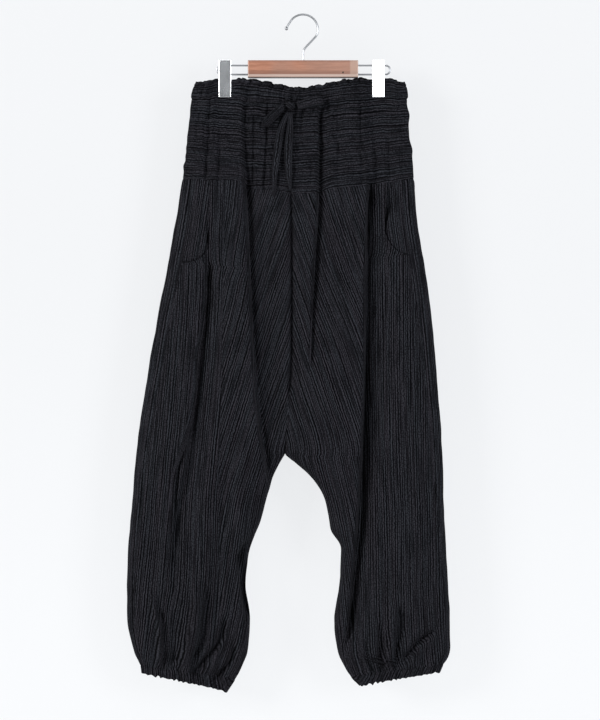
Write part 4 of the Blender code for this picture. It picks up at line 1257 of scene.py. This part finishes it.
def add_pocket_bag(side, finish):
    """The hip piece behind the opening, which is also the front of the pocket's bag."""
    station = np.linspace(YOKE_FOOT, BAG_FOOT, BAG_ROWS)[:, None]
    narrows, narrows_from, narrows_over = BAG_NARROWS
    inner = BAG_INNER_SHARE + narrows * eased((station - narrows_from) / narrows_over) ** 2
    t = np.linspace(0, 1, BAG_COLUMNS)[None, :]
    around = inner + (side_seam(station) - inner) * t
    points = skin(side, around, station)
    down = np.clip((station - YOKE_FOOT) / (BAG_FOOT - YOKE_FOOT), 0, 1)
    swelling = np.sin(np.pi * t) ** 1.2 * np.sin(np.pi * down**1.5) ** 0.9
    points[..., 1] = innermost(side, around, station) + SHELL + BAG_LAP + BAG_SWELL * swelling
    past_edge = (around - pocket_edge(side, station)) * LEG_WIDTH
    shown = eased((past_edge - pocket_gape(side, station)) / BAG_RISES_OVER)[..., None]
    face = surface(side, around, station)[0]
    face[..., 1] += (SHELL + SEAM_GAP) * eased(1 - past_edge / BAG_MEETS_FACE)
    points = points + (face - points) * shown
    normals = np.broadcast_to([0.0, -1.0, 0.0], points.shape)
    maps = straight_runs(side, around, station, points)
    name = "pants_pocket_bag_" + side
    made = add_shell(name, points, normals, SHELL, maps, finish)
    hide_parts("pocket_bag_" + side)


def ring(face, stations):
    """Points, normals and stripes from side seam to side seam, for the waistband or the yoke."""
    station = np.asarray(stations, float)[:, None]
    even = np.linspace(0, 1, RING_COLUMNS)[None, :]
    pieces = []
    for side in ("right", "left"):
        if face == "front":
            around = even * side_seam(station)
        else:
            back = (1 + even**RING_CROWDED) * np.ones_like(station)
            wrap = wrapped(station, RING_WRAP_COLUMNS)
            around = np.concatenate([wrap, back], axis=1)[:, ::-1]
        points, normals = surface(side, around, station)
        maps, _ = level_runs(side, around, station)
        pieces.append((points, normals, maps[0][0], maps[0][1]))
    joined = [np.concatenate([r[:, :0:-1], l], axis=1) for r, l in zip(*pieces)]
    points, normals, level, turn = joined
    return points, normals, ([(level, turn)], np.zeros(level.shape, int))


def add_rings(finish):
    for face in ("front", "back"):
        for part, stations, thickness, carried_by in (
            ("yoke", np.linspace(BAND_FOOT, YOKE_FOOT, YOKE_ROWS), SHELL,
             ["pants_waistband_" + face]),
            ("waistband", np.linspace(WAIST_TOP, BAND_FOOT, BAND_ROWS), BAND_SHELL,
             [f"hanger_clip_{face}_{side}" for side in SIDE_NAMES]),
        ):
            points, normals, maps = ring(face, stations)
            if part == "waistband":
                points = points + normals * BAND_STAND
            name = f"pants_{part}_{face}"
            made = add_shell(name, points, normals, thickness, maps, finish)
            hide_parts(f"{part}_{face}")


def add_cuffs(finish):
    station = np.linspace(CUFF_TOP, HEM, CUFF_ROWS)[:, None]
    even = np.linspace(0, 1, CUFF_COLUMNS)[None, :]
    crowded = 0.5 - 0.5 * np.cos(np.pi * even)
    steps = even + CUFF_CROWDED * (crowded - even)
    start = side_seam(station)
    for side in SIDE_NAMES:
        for face in ("front", "back"):
            around = steps * start if face == "front" else start + (2 - start) * steps
            points, normals = surface(side, around, station)
            maps = straight_runs(side, around, station, points)
            name = f"pants_cuff_{face}_{side}"
            made = add_shell(name, points, normals, SHELL, maps, finish)
            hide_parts(f"cuff_{face}_{side}")


# ---------------------------------------------------------------- stitching


def add_stitches(name, lines, finish):
    """Short thread stitches laid end to end along lines of points with their normals."""
    vertices, faces = [], []
    for points, normals in lines:
        length = lengths_along(points)
        count = int(length[-1] // STITCH_PITCH)
        middles = (np.arange(count) + 0.5) * STITCH_PITCH
        ends = [middles - STITCH_LENGTH / 2, middles + STITCH_LENGTH / 2]
        at = [np.stack([np.interp(e, length, points[:, k]) for k in range(3)], -1) for e in ends]
        out = np.stack([np.interp(middles, length, normals[:, k]) for k in range(3)], -1)
        for start, end, up in zip(*at, out):
            size = np.linalg.norm(end - start)
            if size >= STITCH_LEAST * STITCH_LENGTH:
                add_stitch(vertices, faces, start, end, up, size)
    mesh = bpy.data.meshes.new(name)
    mesh.from_pydata((np.array(vertices) * MM).tolist(), [], faces)
    mesh.shade_smooth()
    return new_object(name, mesh, finish)


def add_stitch(vertices, faces, start, end, up, size):
    side = np.cross((end - start) / size, up)
    side /= np.linalg.norm(side)
    base = len(vertices)
    for t, radius, sunk_by in STITCH_RINGS:
        centre = start + (end - start) * t + up * (STITCH_LIFT - sunk_by)
        for k in range(STITCH_SIDES):
            a = 2 * math.pi * k / STITCH_SIDES
            vertices.append(centre + radius * (side * math.cos(a) + up * math.sin(a)))
    add_tube_faces(faces, base, len(STITCH_RINGS), STITCH_SIDES)


def add_tube_faces(faces, base, rings, sides):
    """The faces round a tube's rings of points, and the two that close its ends."""
    for low in range(base, base + (rings - 1) * sides, sides):
        for k in range(sides):
            n = (k + 1) % sides
            faces.append((low + k, low + n, low + sides + n, low + sides + k))
    last = base + (rings - 1) * sides
    faces.append(tuple(base + k for k in reversed(range(sides))))
    faces.append(tuple(last + k for k in range(sides)))


def level_line(side, low, high, station):
    around = np.linspace(low, high, LEVEL_LINE_POINTS)[None, :]
    points, normals = surface(side, around, np.full_like(around, station))
    return points[0], normals[0]


def down_line(side, around_of, low, high, lift=None):
    station = np.linspace(low, high, DOWN_LINE_POINTS)[:, None]
    around = around_of(station)
    points, normals = surface(side, around, station)
    if lift is not None:
        points = points + normals * lift(side, around, station)[..., None]
    return points[:, 0], normals[:, 0]


def add_all_stitching(finish):
    lines = {part: [] for part in ("waistband", "yoke", "legs", "cuffs")}
    legs, inset = lines["legs"], SEAM_STITCH_INSET / LEG_WIDTH
    for side in SIDE_NAMES:
        for low, high in STITCHED_HALVES:
            for part, station, short in STITCH_ROWS:
                lines[part].append(level_line(side, low + short, high - short, station))
        foot = POCKET_FOOT[side]
        for off in POCKET_STITCH_INSETS:
            legs.append(down_line(
                side, lambda s: front_edge(side, s) - off / LEG_WIDTH,
                YOKE_FOOT + 1, foot - 1.5, lift=pocket_lip,
            ))
        legs.append(down_line(side, lambda s: side_seam(s) - inset, foot + 4, CUFF_TOP - 2))
        centre_back = down_line(side, lambda s: np.full_like(s, 2 - inset), *CENTRE_STITCHED)
        legs.append(centre_back)
    legs.append(down_line("left", lambda s: np.full_like(s, inset), *CENTRE_STITCHED))
    for part, name in STITCH_NAMES.items():
        add_stitches("pants_stitches_" + name, lines[part], finish)


# ---------------------------------------------------------------- the drawstring


def smooth_line(points, count):
    points = np.array(points, float)
    lengths = lengths_along(points)
    table = [(length, *point) for length, point in zip(lengths, points)]
    at = np.linspace(0, lengths[-1], count)
    return np.stack([along(table, column, at, steady=False) for column in (1, 2, 3)], axis=-1)


def front_of_cloth(x, z, reach):
    """The y of the cloth's foremost point near a place, without its finer form."""
    share, station = np.meshgrid(np.linspace(*BEHIND_BOW[0]), np.linspace(*BEHIND_BOW[1]))
    cloud = np.concatenate([skin(s, share, station).reshape(-1, 3) for s in SIDE_NAMES])
    near = np.hypot(cloud[:, 0] - x, cloud[:, 2] - z) < reach
    return float(cloud[near, 1].min()) - SEAM_GAP / 2


def laid_on_cloth(route):
    return [(x, front_of_cloth(x, z, STRING / 2) - height, z) for x, z, height in route]


def tape_vertices(line, widths, thicknesses, start_side):
    """Rings of points round a flat tape that follows a line without twisting."""
    tangents = np.gradient(line, axis=0)
    tangents /= np.linalg.norm(tangents, axis=1, keepdims=True)
    side = np.array(start_side, float)
    rings = []
    for k, (centre, tangent) in enumerate(zip(line, tangents)):
        side = side - tangent * side.dot(tangent)
        side = side / np.linalg.norm(side)
        out = np.cross(side, tangent)
        ring = []
        for j in range(TAPE_SIDES):
            a = 2 * math.pi * j / TAPE_SIDES
            c, s = math.cos(a), math.sin(a)
            wide = math.copysign(abs(c) ** TAPE_ROUNDING[0], c) * widths[k] / 2
            thick = math.copysign(abs(s) ** TAPE_ROUNDING[1], s) * thicknesses[k] / 2
            hollow = 1 - TAPE_HOLLOW * math.exp(-((wide / (TAPE_HOLLOW_REACH * widths[k])) ** 2))
            ring.append(centre + side * wide + out * thick * hollow)
        rings.append(ring)
    return np.array(rings)


def add_tape(name, line, widths, thicknesses, start_side, finish):
    rings = tape_vertices(line, widths, thicknesses, start_side)
    faces, uvs = [], []
    add_tube_faces(faces, 0, len(rings), TAPE_SIDES)
    lengths = lengths_along(line)
    across = [2 * max(widths) * j / TAPE_SIDES for j in range(TAPE_SIDES + 1)]
    for low, high in zip(lengths, lengths[1:]):
        for u0, u1 in zip(across, across[1:]):
            uvs += [(u0, low), (u1, low), (u1, high), (u0, high)]
    uvs += [(u, 0) for u in across[:-1]] * 2
    mesh = new_mesh(name, rings.reshape(-1, 3), faces, np.array(uvs))
    return new_object(name, mesh, finish)


def tape_sizes(name, t):
    """How wide and how thick a piece of the drawstring is along its length."""
    kind, side = name.split("_")[1:]
    thick = np.full_like(t, TAPE_THICKNESS)
    if kind == "strand":
        return np.full_like(t, STRAND_WIDTH), thick
    if kind == "end":
        widths = along(TAIL_WIDTHS[side], 1, t)
        return widths, TAIL_FLATNESS * widths
    narrows, reach = LOOP_NARROWS
    ends = np.exp(-((t / reach) ** 2)) + np.exp(-(((1 - t) / reach) ** 2))
    return LOOP_WIDTHS[side] - narrows * ends, thick


def add_drawstring(finish):
    for name, route in STRING_ROUTES.items():
        kind = name.split("_")[1]
        line = smooth_line(laid_on_cloth(route), STRING_POINTS[kind])
        widths, thick = tape_sizes(name, np.linspace(0, 1, len(line)))
        start = np.cross(line[1] - line[0], (0, -1, 0))
        start = start / np.linalg.norm(start)
        piece = add_tape(name + "_tape", line, widths, thick, start, finish)
        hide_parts(name)
        if kind == "strand":
            continue
    add_knot(finish)


def knot_turn(tilt, radii, width, centre):
    """Points round one turn of the knot's tape, which lies rucked on a tilted ellipse."""
    cos_t, sin_t = math.cos(math.radians(tilt)), math.sin(math.radians(tilt))
    points = []
    for i in range(KNOT_STEPS):
        a = 2 * math.pi * i / KNOT_STEPS
        outward = np.array([math.cos(a) / radii[0], math.sin(a) / radii[1], 0.0])
        outward /= np.linalg.norm(outward)
        for j in range(TAPE_SIDES):
            b = 2 * math.pi * j / TAPE_SIDES
            ruck = 1 + KNOT_RUCKS[0] * math.sin(3 * a + 2 * b)
            ruck += KNOT_RUCKS[1] * math.sin(5 * a + 1)
            x, y = (outward * math.cos(b) * KNOT_TAPE * ruck)[:2]
            x, y = x + math.cos(a) * radii[0], y + math.sin(a) * radii[1]
            z = math.sin(b) * width / 2 * ruck
            points.append(centre + np.array([x * cos_t - z * sin_t, y, x * sin_t + z * cos_t]))
    return points


def add_knot(finish):
    """The knot: two turns of the tape drawn tight over each other, one slanting each way."""
    x, z, height = KNOT_PLACE
    centre = np.array([x, front_of_cloth(x, z, KNOT_WIDTH / 2) - height, z])
    vertices, faces, uvs = [], [], []
    for tilt, radii, width, shift in KNOT_TURNS:
        base = len(vertices)
        vertices += knot_turn(tilt, radii, width, centre + np.array(shift))
        across, step = KNOT_MAP[0] * width / TAPE_SIDES, KNOT_MAP[1]
        for i in range(KNOT_STEPS):
            row, after = base + i * TAPE_SIDES, base + (i + 1) % KNOT_STEPS * TAPE_SIDES
            v0, v1 = step * i, step * (i + 1)
            for j in range(TAPE_SIDES):
                m = (j + 1) % TAPE_SIDES
                faces.append((row + j, after + j, after + m, row + m))
                u0, u1 = across * j, across * (j + 1)
                uvs += [(u0, v0), (u0, v1), (u1, v1), (u1, v0)]
    mesh = new_mesh("drawstring_knot_tape", np.array(vertices), faces, np.array(uvs))
    made = new_object("drawstring_knot_tape", mesh, finish)
    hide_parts("drawstring_knot")


# ---------------------------------------------------------------- materials


def rgba(colour, gain=1.0):
    return (*[c * gain for c in colour], 1)


class Shading:
    """A material's node tree, with short calls for the nodes used here."""

    def __init__(self, name):
        self.material = bpy.data.materials.new(name)
        self.material.use_nodes = True
        self.tree = self.material.node_tree
        self.shader = self.tree.nodes["Principled BSDF"]

    def node(self, kind, inputs=None, **settings):
        made = self.tree.nodes.new(kind)
        for key, value in settings.items():
            setattr(made, key, value)
        for key, value in (inputs or {}).items():
            self.put(made.inputs[key], value)
        return made

    def put(self, socket, value):
        if isinstance(value, bpy.types.NodeSocket):
            self.tree.links.new(value, socket)
        else:
            socket.default_value = value

    def math(self, operation, *values, clamp=False):
        made = self.node("ShaderNodeMath", operation=operation, use_clamp=clamp)
        for socket, value in zip(made.inputs, values):
            self.put(socket, value)
        return made.outputs[0]

    def times(self, first, second):
        return self.math("MULTIPLY", first, second)

    def parts(self, vector):
        return self.node("ShaderNodeSeparateXYZ", {0: vector}).outputs

    def noise(self, vector, scale, detail=1.0, roughness=0.5, dimensions="2D"):
        made = self.node(
            "ShaderNodeTexNoise",
            {"Vector": vector, "Scale": scale, "Detail": detail, "Roughness": roughness},
            noise_dimensions=dimensions,
        )
        return made.outputs["Fac"]

    def between(self, value, low, high):
        made = self.node(
            "ShaderNodeMapRange",
            {"Value": value, "From Min": low, "From Max": high},
            interpolation_type="SMOOTHSTEP",
        )
        return made.outputs["Result"]

    def vector(self, x, y, z=0.0):
        return self.node("ShaderNodeCombineXYZ", {"X": x, "Y": y, "Z": z}).outputs[0]

    def mix(self, factor, first, second):
        made = self.node("ShaderNodeMix", {0: factor, 6: first, 7: second}, data_type="RGBA")
        return made.outputs[2]

    def bump(self, height, strength, distance):
        made = self.node(
            "ShaderNodeBump", {"Height": height, "Strength": strength, "Distance": distance}
        )
        self.put(self.shader.inputs["Normal"], made.outputs[0])

    def set(self, **values):
        for key, value in values.items():
            self.put(self.shader.inputs[key.replace("_", " ")], value)


def striped_cotton(name):
    """Charcoal cotton woven with thin uneven pale threads along the map's second axis."""
    ground, pitches, run, strength = COTTONS[name]
    s = Shading(name)
    uv = s.node("ShaderNodeUVMap", uv_map="cloth").outputs[0]
    across, down, _ = s.parts(uv)
    place = across
    for scale, reach in WANDERS:
        place = s.math("ADD", place, s.times(s.math("SUBTRACT", s.noise(uv, scale), 0.5), reach))
    both = 0.0
    for pitch, share in zip(pitches, LINE_SHARES):
        crowded = s.noise(s.vector(place, s.times(down, CROWDS[0])), CROWDS[1] / pitch)
        even = s.times(place, 2 * math.pi / pitch)
        turns = s.math("MULTIPLY_ADD", crowded, CROWDING, even)
        slow = s.vector(place, s.times(down, pitch / run))
        scale, *kind = RUN_NOISE
        each = s.between(s.noise(slow, scale / pitch, *kind), *RUN_SHOWS)
        waves = s.between(s.math("SINE", turns), *WAVE_SHOWS)
        line = s.times(waves, s.math("MULTIPLY_ADD", each, 1 - RUN_LEAST, RUN_LEAST))
        both = s.math("MULTIPLY_ADD", line, share, both)
    scale, depth = GRAIN
    grain = s.between(s.noise(uv, scale, 0.0), *GRAIN_SHOWS)
    grain = s.math("MULTIPLY_ADD", grain, depth, 1 - depth / 2)
    mask = s.math("MULTIPLY", s.times(both, grain), strength, clamp=True)
    changing = s.vector(place, s.times(down, PALE_CHANGES[0]))
    warm = s.between(s.noise(changing, PALE_CHANGES[1]), *PALE_SHOWS)
    thread = s.mix(warm, rgba(PALE[0]), rgba(PALE[1]))
    worn = s.between(s.noise(uv, *GROUND_NOISE), *GROUND_SHOWS)
    base = s.mix(worn, *(rgba(ground, gain) for gain in GROUND_WORN))
    s.set(Base_Color=s.mix(mask, base, thread))
    ribs, picks = (
        s.node("ShaderNodeTexWave", {"Vector": uv, "Scale": scale}, bands_direction=axis)
        for axis, scale in WEAVE_SCALES.items()
    )
    weave = s.times(ribs.outputs["Fac"], picks.outputs["Fac"])
    s.bump(s.math("MULTIPLY_ADD", both, THREAD_RISE, s.times(weave, WEAVE_RISE)), 0.3, 0.0003)
    s.set(
        Roughness=s.math("MULTIPLY_ADD", mask, -0.06, 0.94), Sheen_Weight=0.008,
        Sheen_Roughness=0.5, Specular_IOR_Level=0.04,
    )
    return s.material


def plain_thread(name, colour):
    s = Shading(name)
    place = s.node("ShaderNodeTexCoord").outputs["Object"]
    twist = s.noise(place, 900.0, dimensions="3D")
    s.set(Base_Color=s.mix(twist, rgba(colour, 0.7), rgba(colour, 1.3)))
    s.bump(twist, 0.3, 0.0002)
    s.set(Roughness=0.8, Sheen_Weight=0.01, Specular_IOR_Level=0.05)
    return s.material


def varnished_wood(name):
    """Red-brown wood under a thin gloss varnish, paler where one end is worn, with painted shade at
    its top and bottom edges and underside and a painted highlight on its lower bevel.
    """
    s = Shading(name)
    place = s.node("ShaderNodeTexCoord").outputs["Object"]
    x, y, z = s.parts(place)
    stretched = s.vector(s.times(x, WOOD_STRETCH), y, z)
    grain = s.noise(stretched, *WOOD_GRAIN, "3D")
    figure = s.noise(stretched, *WOOD_FIGURE, "3D")
    cloudy = s.noise(place, *WOOD_CLOUDS, "3D")
    tone = s.mix(s.between(grain, 0.3, 0.7), rgba(WOOD_DARK), rgba(WOOD_LIGHT))
    tone = s.mix(s.times(s.between(figure, 0.4, 0.7), 0.35), tone, rgba(WOOD_WARM))
    clouds = s.times(s.between(cloudy, 0.45, 0.7), 0.4)
    greyed = s.math("MULTIPLY_ADD", s.between(x, *GREYS_ALONG), 0.35, clouds)
    tone = s.mix(greyed, tone, rgba(WOOD_GREY))
    # painted shade: darker towards the top edge and over the lower face
    low = s.math("SUBTRACT", 1.0, s.between(z, *SHADED_FACE_HEIGHTS))
    edge = s.math("ADD", s.between(z, *SHADED_TOP_HEIGHTS), low, clamp=True)
    tone = s.mix(s.times(edge, 0.55), tone, rgba(WOOD_SHADED_EDGE))
    # painted highlight: a pale line along the lower bevel
    below, above = (s.between(z, *heights) for heights in HIGHLIGHT_HEIGHTS)
    highlight_band = s.times(s.math("SUBTRACT", 1.0, below), above)
    tone = s.mix(s.times(highlight_band, 0.85), tone, rgba(WOOD_HIGHLIGHT))
    tone = s.mix(s.times(s.between(x, *WORN_END), 0.5), tone, rgba(WOOD_PALE))
    # painted shade: the underside is darkened almost to black
    under = s.math("SUBTRACT", 0.9, s.times(s.between(z, *SHADE_BELOW_HEIGHTS), 0.9))
    s.set(Base_Color=s.mix(under, tone, rgba(WOOD_SHADE_BELOW)))
    s.bump(grain, 0.12, 0.0003)
    s.set(
        Roughness=s.math("MULTIPLY_ADD", grain, 0.15, 0.38), Coat_Weight=0.55,
        Coat_Roughness=0.16,
    )
    return s.material


def plated_steel(name, colour, scratch, rough):
    """Bright nickel plate with faint scratches and small changes of gloss."""
    s = Shading(name)
    place = s.node("ShaderNodeTexCoord").outputs["Object"]
    x, y, z = s.parts(place)
    lines = s.noise(s.vector(x, y, s.times(z, scratch)), *PLATE_LINES, "3D")
    patches = s.noise(place, *PLATE_PATCHES, "3D")
    s.set(Base_Color=s.mix(patches, rgba(colour, PLATE_DULL), rgba(colour)))
    s.bump(lines, 0.04, 0.0002)
    s.set(Metallic=1.0, Roughness=s.math("MULTIPLY_ADD", patches, 0.14, rough))
    return s.material


# ---------------------------------------------------------------- the hanger


def finish_node(name, finish):
    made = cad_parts[name]
    made.data.materials.clear()
    made.data.materials.append(finish)


def add_screw(finish):
    """A small countersunk screw in the face of the bar, with its slot."""
    mesh = bpy.data.meshes.new("hanger_screw")
    work = bmesh.new()
    half_width, depth, reach = SCREW_SLOT
    rings = []
    for radius, height in SCREW_PROFILE:
        ring = []
        for k in range(SCREW_SIDES):
            a = 2 * math.pi * k / SCREW_SIDES
            in_slot = abs(math.sin(a) * radius) < half_width and radius < reach
            off = (radius * math.cos(a), depth * in_slot - height, radius * math.sin(a))
            ring.append(work.verts.new([(c + o) * MM for c, o in zip(SCREW_PLACE, off)]))
        rings.append(ring)
    for low, high in zip(rings, rings[1:]):
        for k in range(SCREW_SIDES):
            n = (k + 1) % SCREW_SIDES
            work.faces.new((low[k], high[k], high[n], low[n]))
    work.faces.new(rings[-1])
    bmesh.ops.remove_doubles(work, verts=work.verts, dist=1e-6)
    bmesh.ops.recalc_face_normals(work, faces=work.faces)
    work.to_mesh(mesh)
    work.free()
    new_object("hanger_screw", mesh, finish)


def add_hook_tip(finish):
    """The rounded tip on the end of the hook's wire."""
    mesh = bpy.data.meshes.new("hanger_hook_tip")
    work = bmesh.new()
    bmesh.ops.create_uvsphere(work, u_segments=28, v_segments=18, radius=HOOK_TIP_RADIUS * MM)
    for v in work.verts:
        v.co.z *= HOOK_TIP_STRETCH
    work.to_mesh(mesh)
    work.free()
    mesh.shade_smooth()
    mesh.transform(Matrix.Translation([c * MM for c in HOOK_TIP_PLACE]))
    new_object("hanger_hook_tip", mesh, finish)


def finish_hanger():
    wire = plated_steel("hanger_plated_wire", *WIRE_PLATE)
    sheet = plated_steel("hanger_plated_sheet", *SHEET_PLATE)
    finish_node("hanger_bar", varnished_wood("hanger_varnished_wood"))
    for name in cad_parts:
        if name.startswith(("hanger_clip", "hanger_carrier")):
            finish_node(name, sheet)
        elif name.startswith(("hanger_rail", "hanger_hook")):
            finish_node(name, wire)
    add_screw(plated_steel("hanger_screw_steel", *SCREW_PLATE))
    add_hook_tip(wire)


# ---------------------------------------------------------------- room, light and camera


def add_plane(name, corners, finish):
    mesh = bpy.data.meshes.new(name)
    mesh.from_pydata(corners, [], [(0, 1, 2, 3)])
    mesh.materials.append(finish)
    made = placed(name, mesh)


def add_room():
    """A pale wall that shows only from its front and glows with painted light, a little more
    towards its foot, and a pale floor below.
    """
    wall = Shading("room_wall")
    wall.set(
        Base_Color=rgba(WALL_COLOUR, WALL_LIT), Roughness=0.95,
        Specular_IOR_Level=0.0, Emission_Color=rgba(WALL_COLOUR),
    )
    place = wall.node("ShaderNodeTexCoord").outputs["Object"]
    # painted light: the wall glows, more towards its foot
    low_down = wall.math("SUBTRACT", 1.0, wall.between(wall.parts(place)[2], *WALL_FOOT))
    glow = wall.math("MULTIPLY_ADD", low_down, WALL_FOOT_GLOW, WALL_GLOW)
    wall.set(Emission_Strength=glow)
    back = wall.node("ShaderNodeNewGeometry").outputs["Backfacing"]
    ray = wall.node("ShaderNodeLightPath").outputs["Is Shadow Ray"]
    clear = wall.node("ShaderNodeBsdfTransparent").outputs[0]
    hidden = wall.math("MAXIMUM", back, ray)
    blend = wall.node("ShaderNodeMixShader", {0: hidden, 1: wall.shader.outputs[0], 2: clear})
    output = next(n for n in wall.tree.nodes if n.type == "OUTPUT_MATERIAL")
    wall.put(output.inputs["Surface"], blend.outputs[0])
    w, r, y = WALL_HALF_WIDTH, FLOOR_REACH, WALL_Y
    upright = [(-w, y, FLOOR), (w, y, FLOOR), (w, y, WALL_TOP), (-w, y, WALL_TOP)]
    add_plane("room_wall", upright, wall.material)
    floor = Shading("room_floor")
    floor.set(Base_Color=rgba(FLOOR_COLOUR), Roughness=0.85)
    level = [(-r, -r, FLOOR), (r, -r, FLOOR), (r, r, FLOOR), (-r, r, FLOOR)]
    add_plane("room_floor", level, floor.material)


def add_light(name, place, target, size, power, colour):
    data = bpy.data.lights.new(name, "AREA")
    data.shape = "RECTANGLE"
    data.size, data.size_y = size
    data.energy = power
    data.color = colour
    made = placed(name, data)
    made.location = place
    x, y, z = np.array(place) - np.array(target)
    made.rotation_euler = (math.atan2(math.hypot(x, y), z), 0, math.atan2(x, -y))


def add_lights():
    world = bpy.data.worlds.new("room_light")
    bpy.context.scene.world = world
    world.use_nodes = True
    background = world.node_tree.nodes["Background"]
    background.inputs["Color"].default_value = rgba(WORLD_COLOUR)
    background.inputs["Strength"].default_value = WORLD_LIGHT
    for row in LIGHTS:
        add_light(*row)


def add_camera():
    data = bpy.data.cameras.new("camera")
    data.sensor_fit = "VERTICAL"
    data.sensor_height = FILM
    data.lens = FILM * CAMERA_AWAY / VIEW_HEIGHT
    made = placed("camera", data)
    made.location = (VIEW_CENTRE[0], -CAMERA_AWAY, VIEW_CENTRE[1])
    made.rotation_euler = (math.pi / 2, 0, 0)
    bpy.context.scene.camera = made


def main():
    bpy.context.scene.view_settings.view_transform = "Standard"
    add_camera()
    add_drawstring(striped_cotton("cotton_string"))
    add_legs(striped_cotton("cotton_legs_striped"))
    add_rings(striped_cotton("cotton_yoke_striped"))
    add_cuffs(striped_cotton("cotton_cuff_striped"))
    add_all_stitching(plain_thread("cotton_thread", THREAD))
    finish_hanger()
    add_room()
    add_lights()


main()
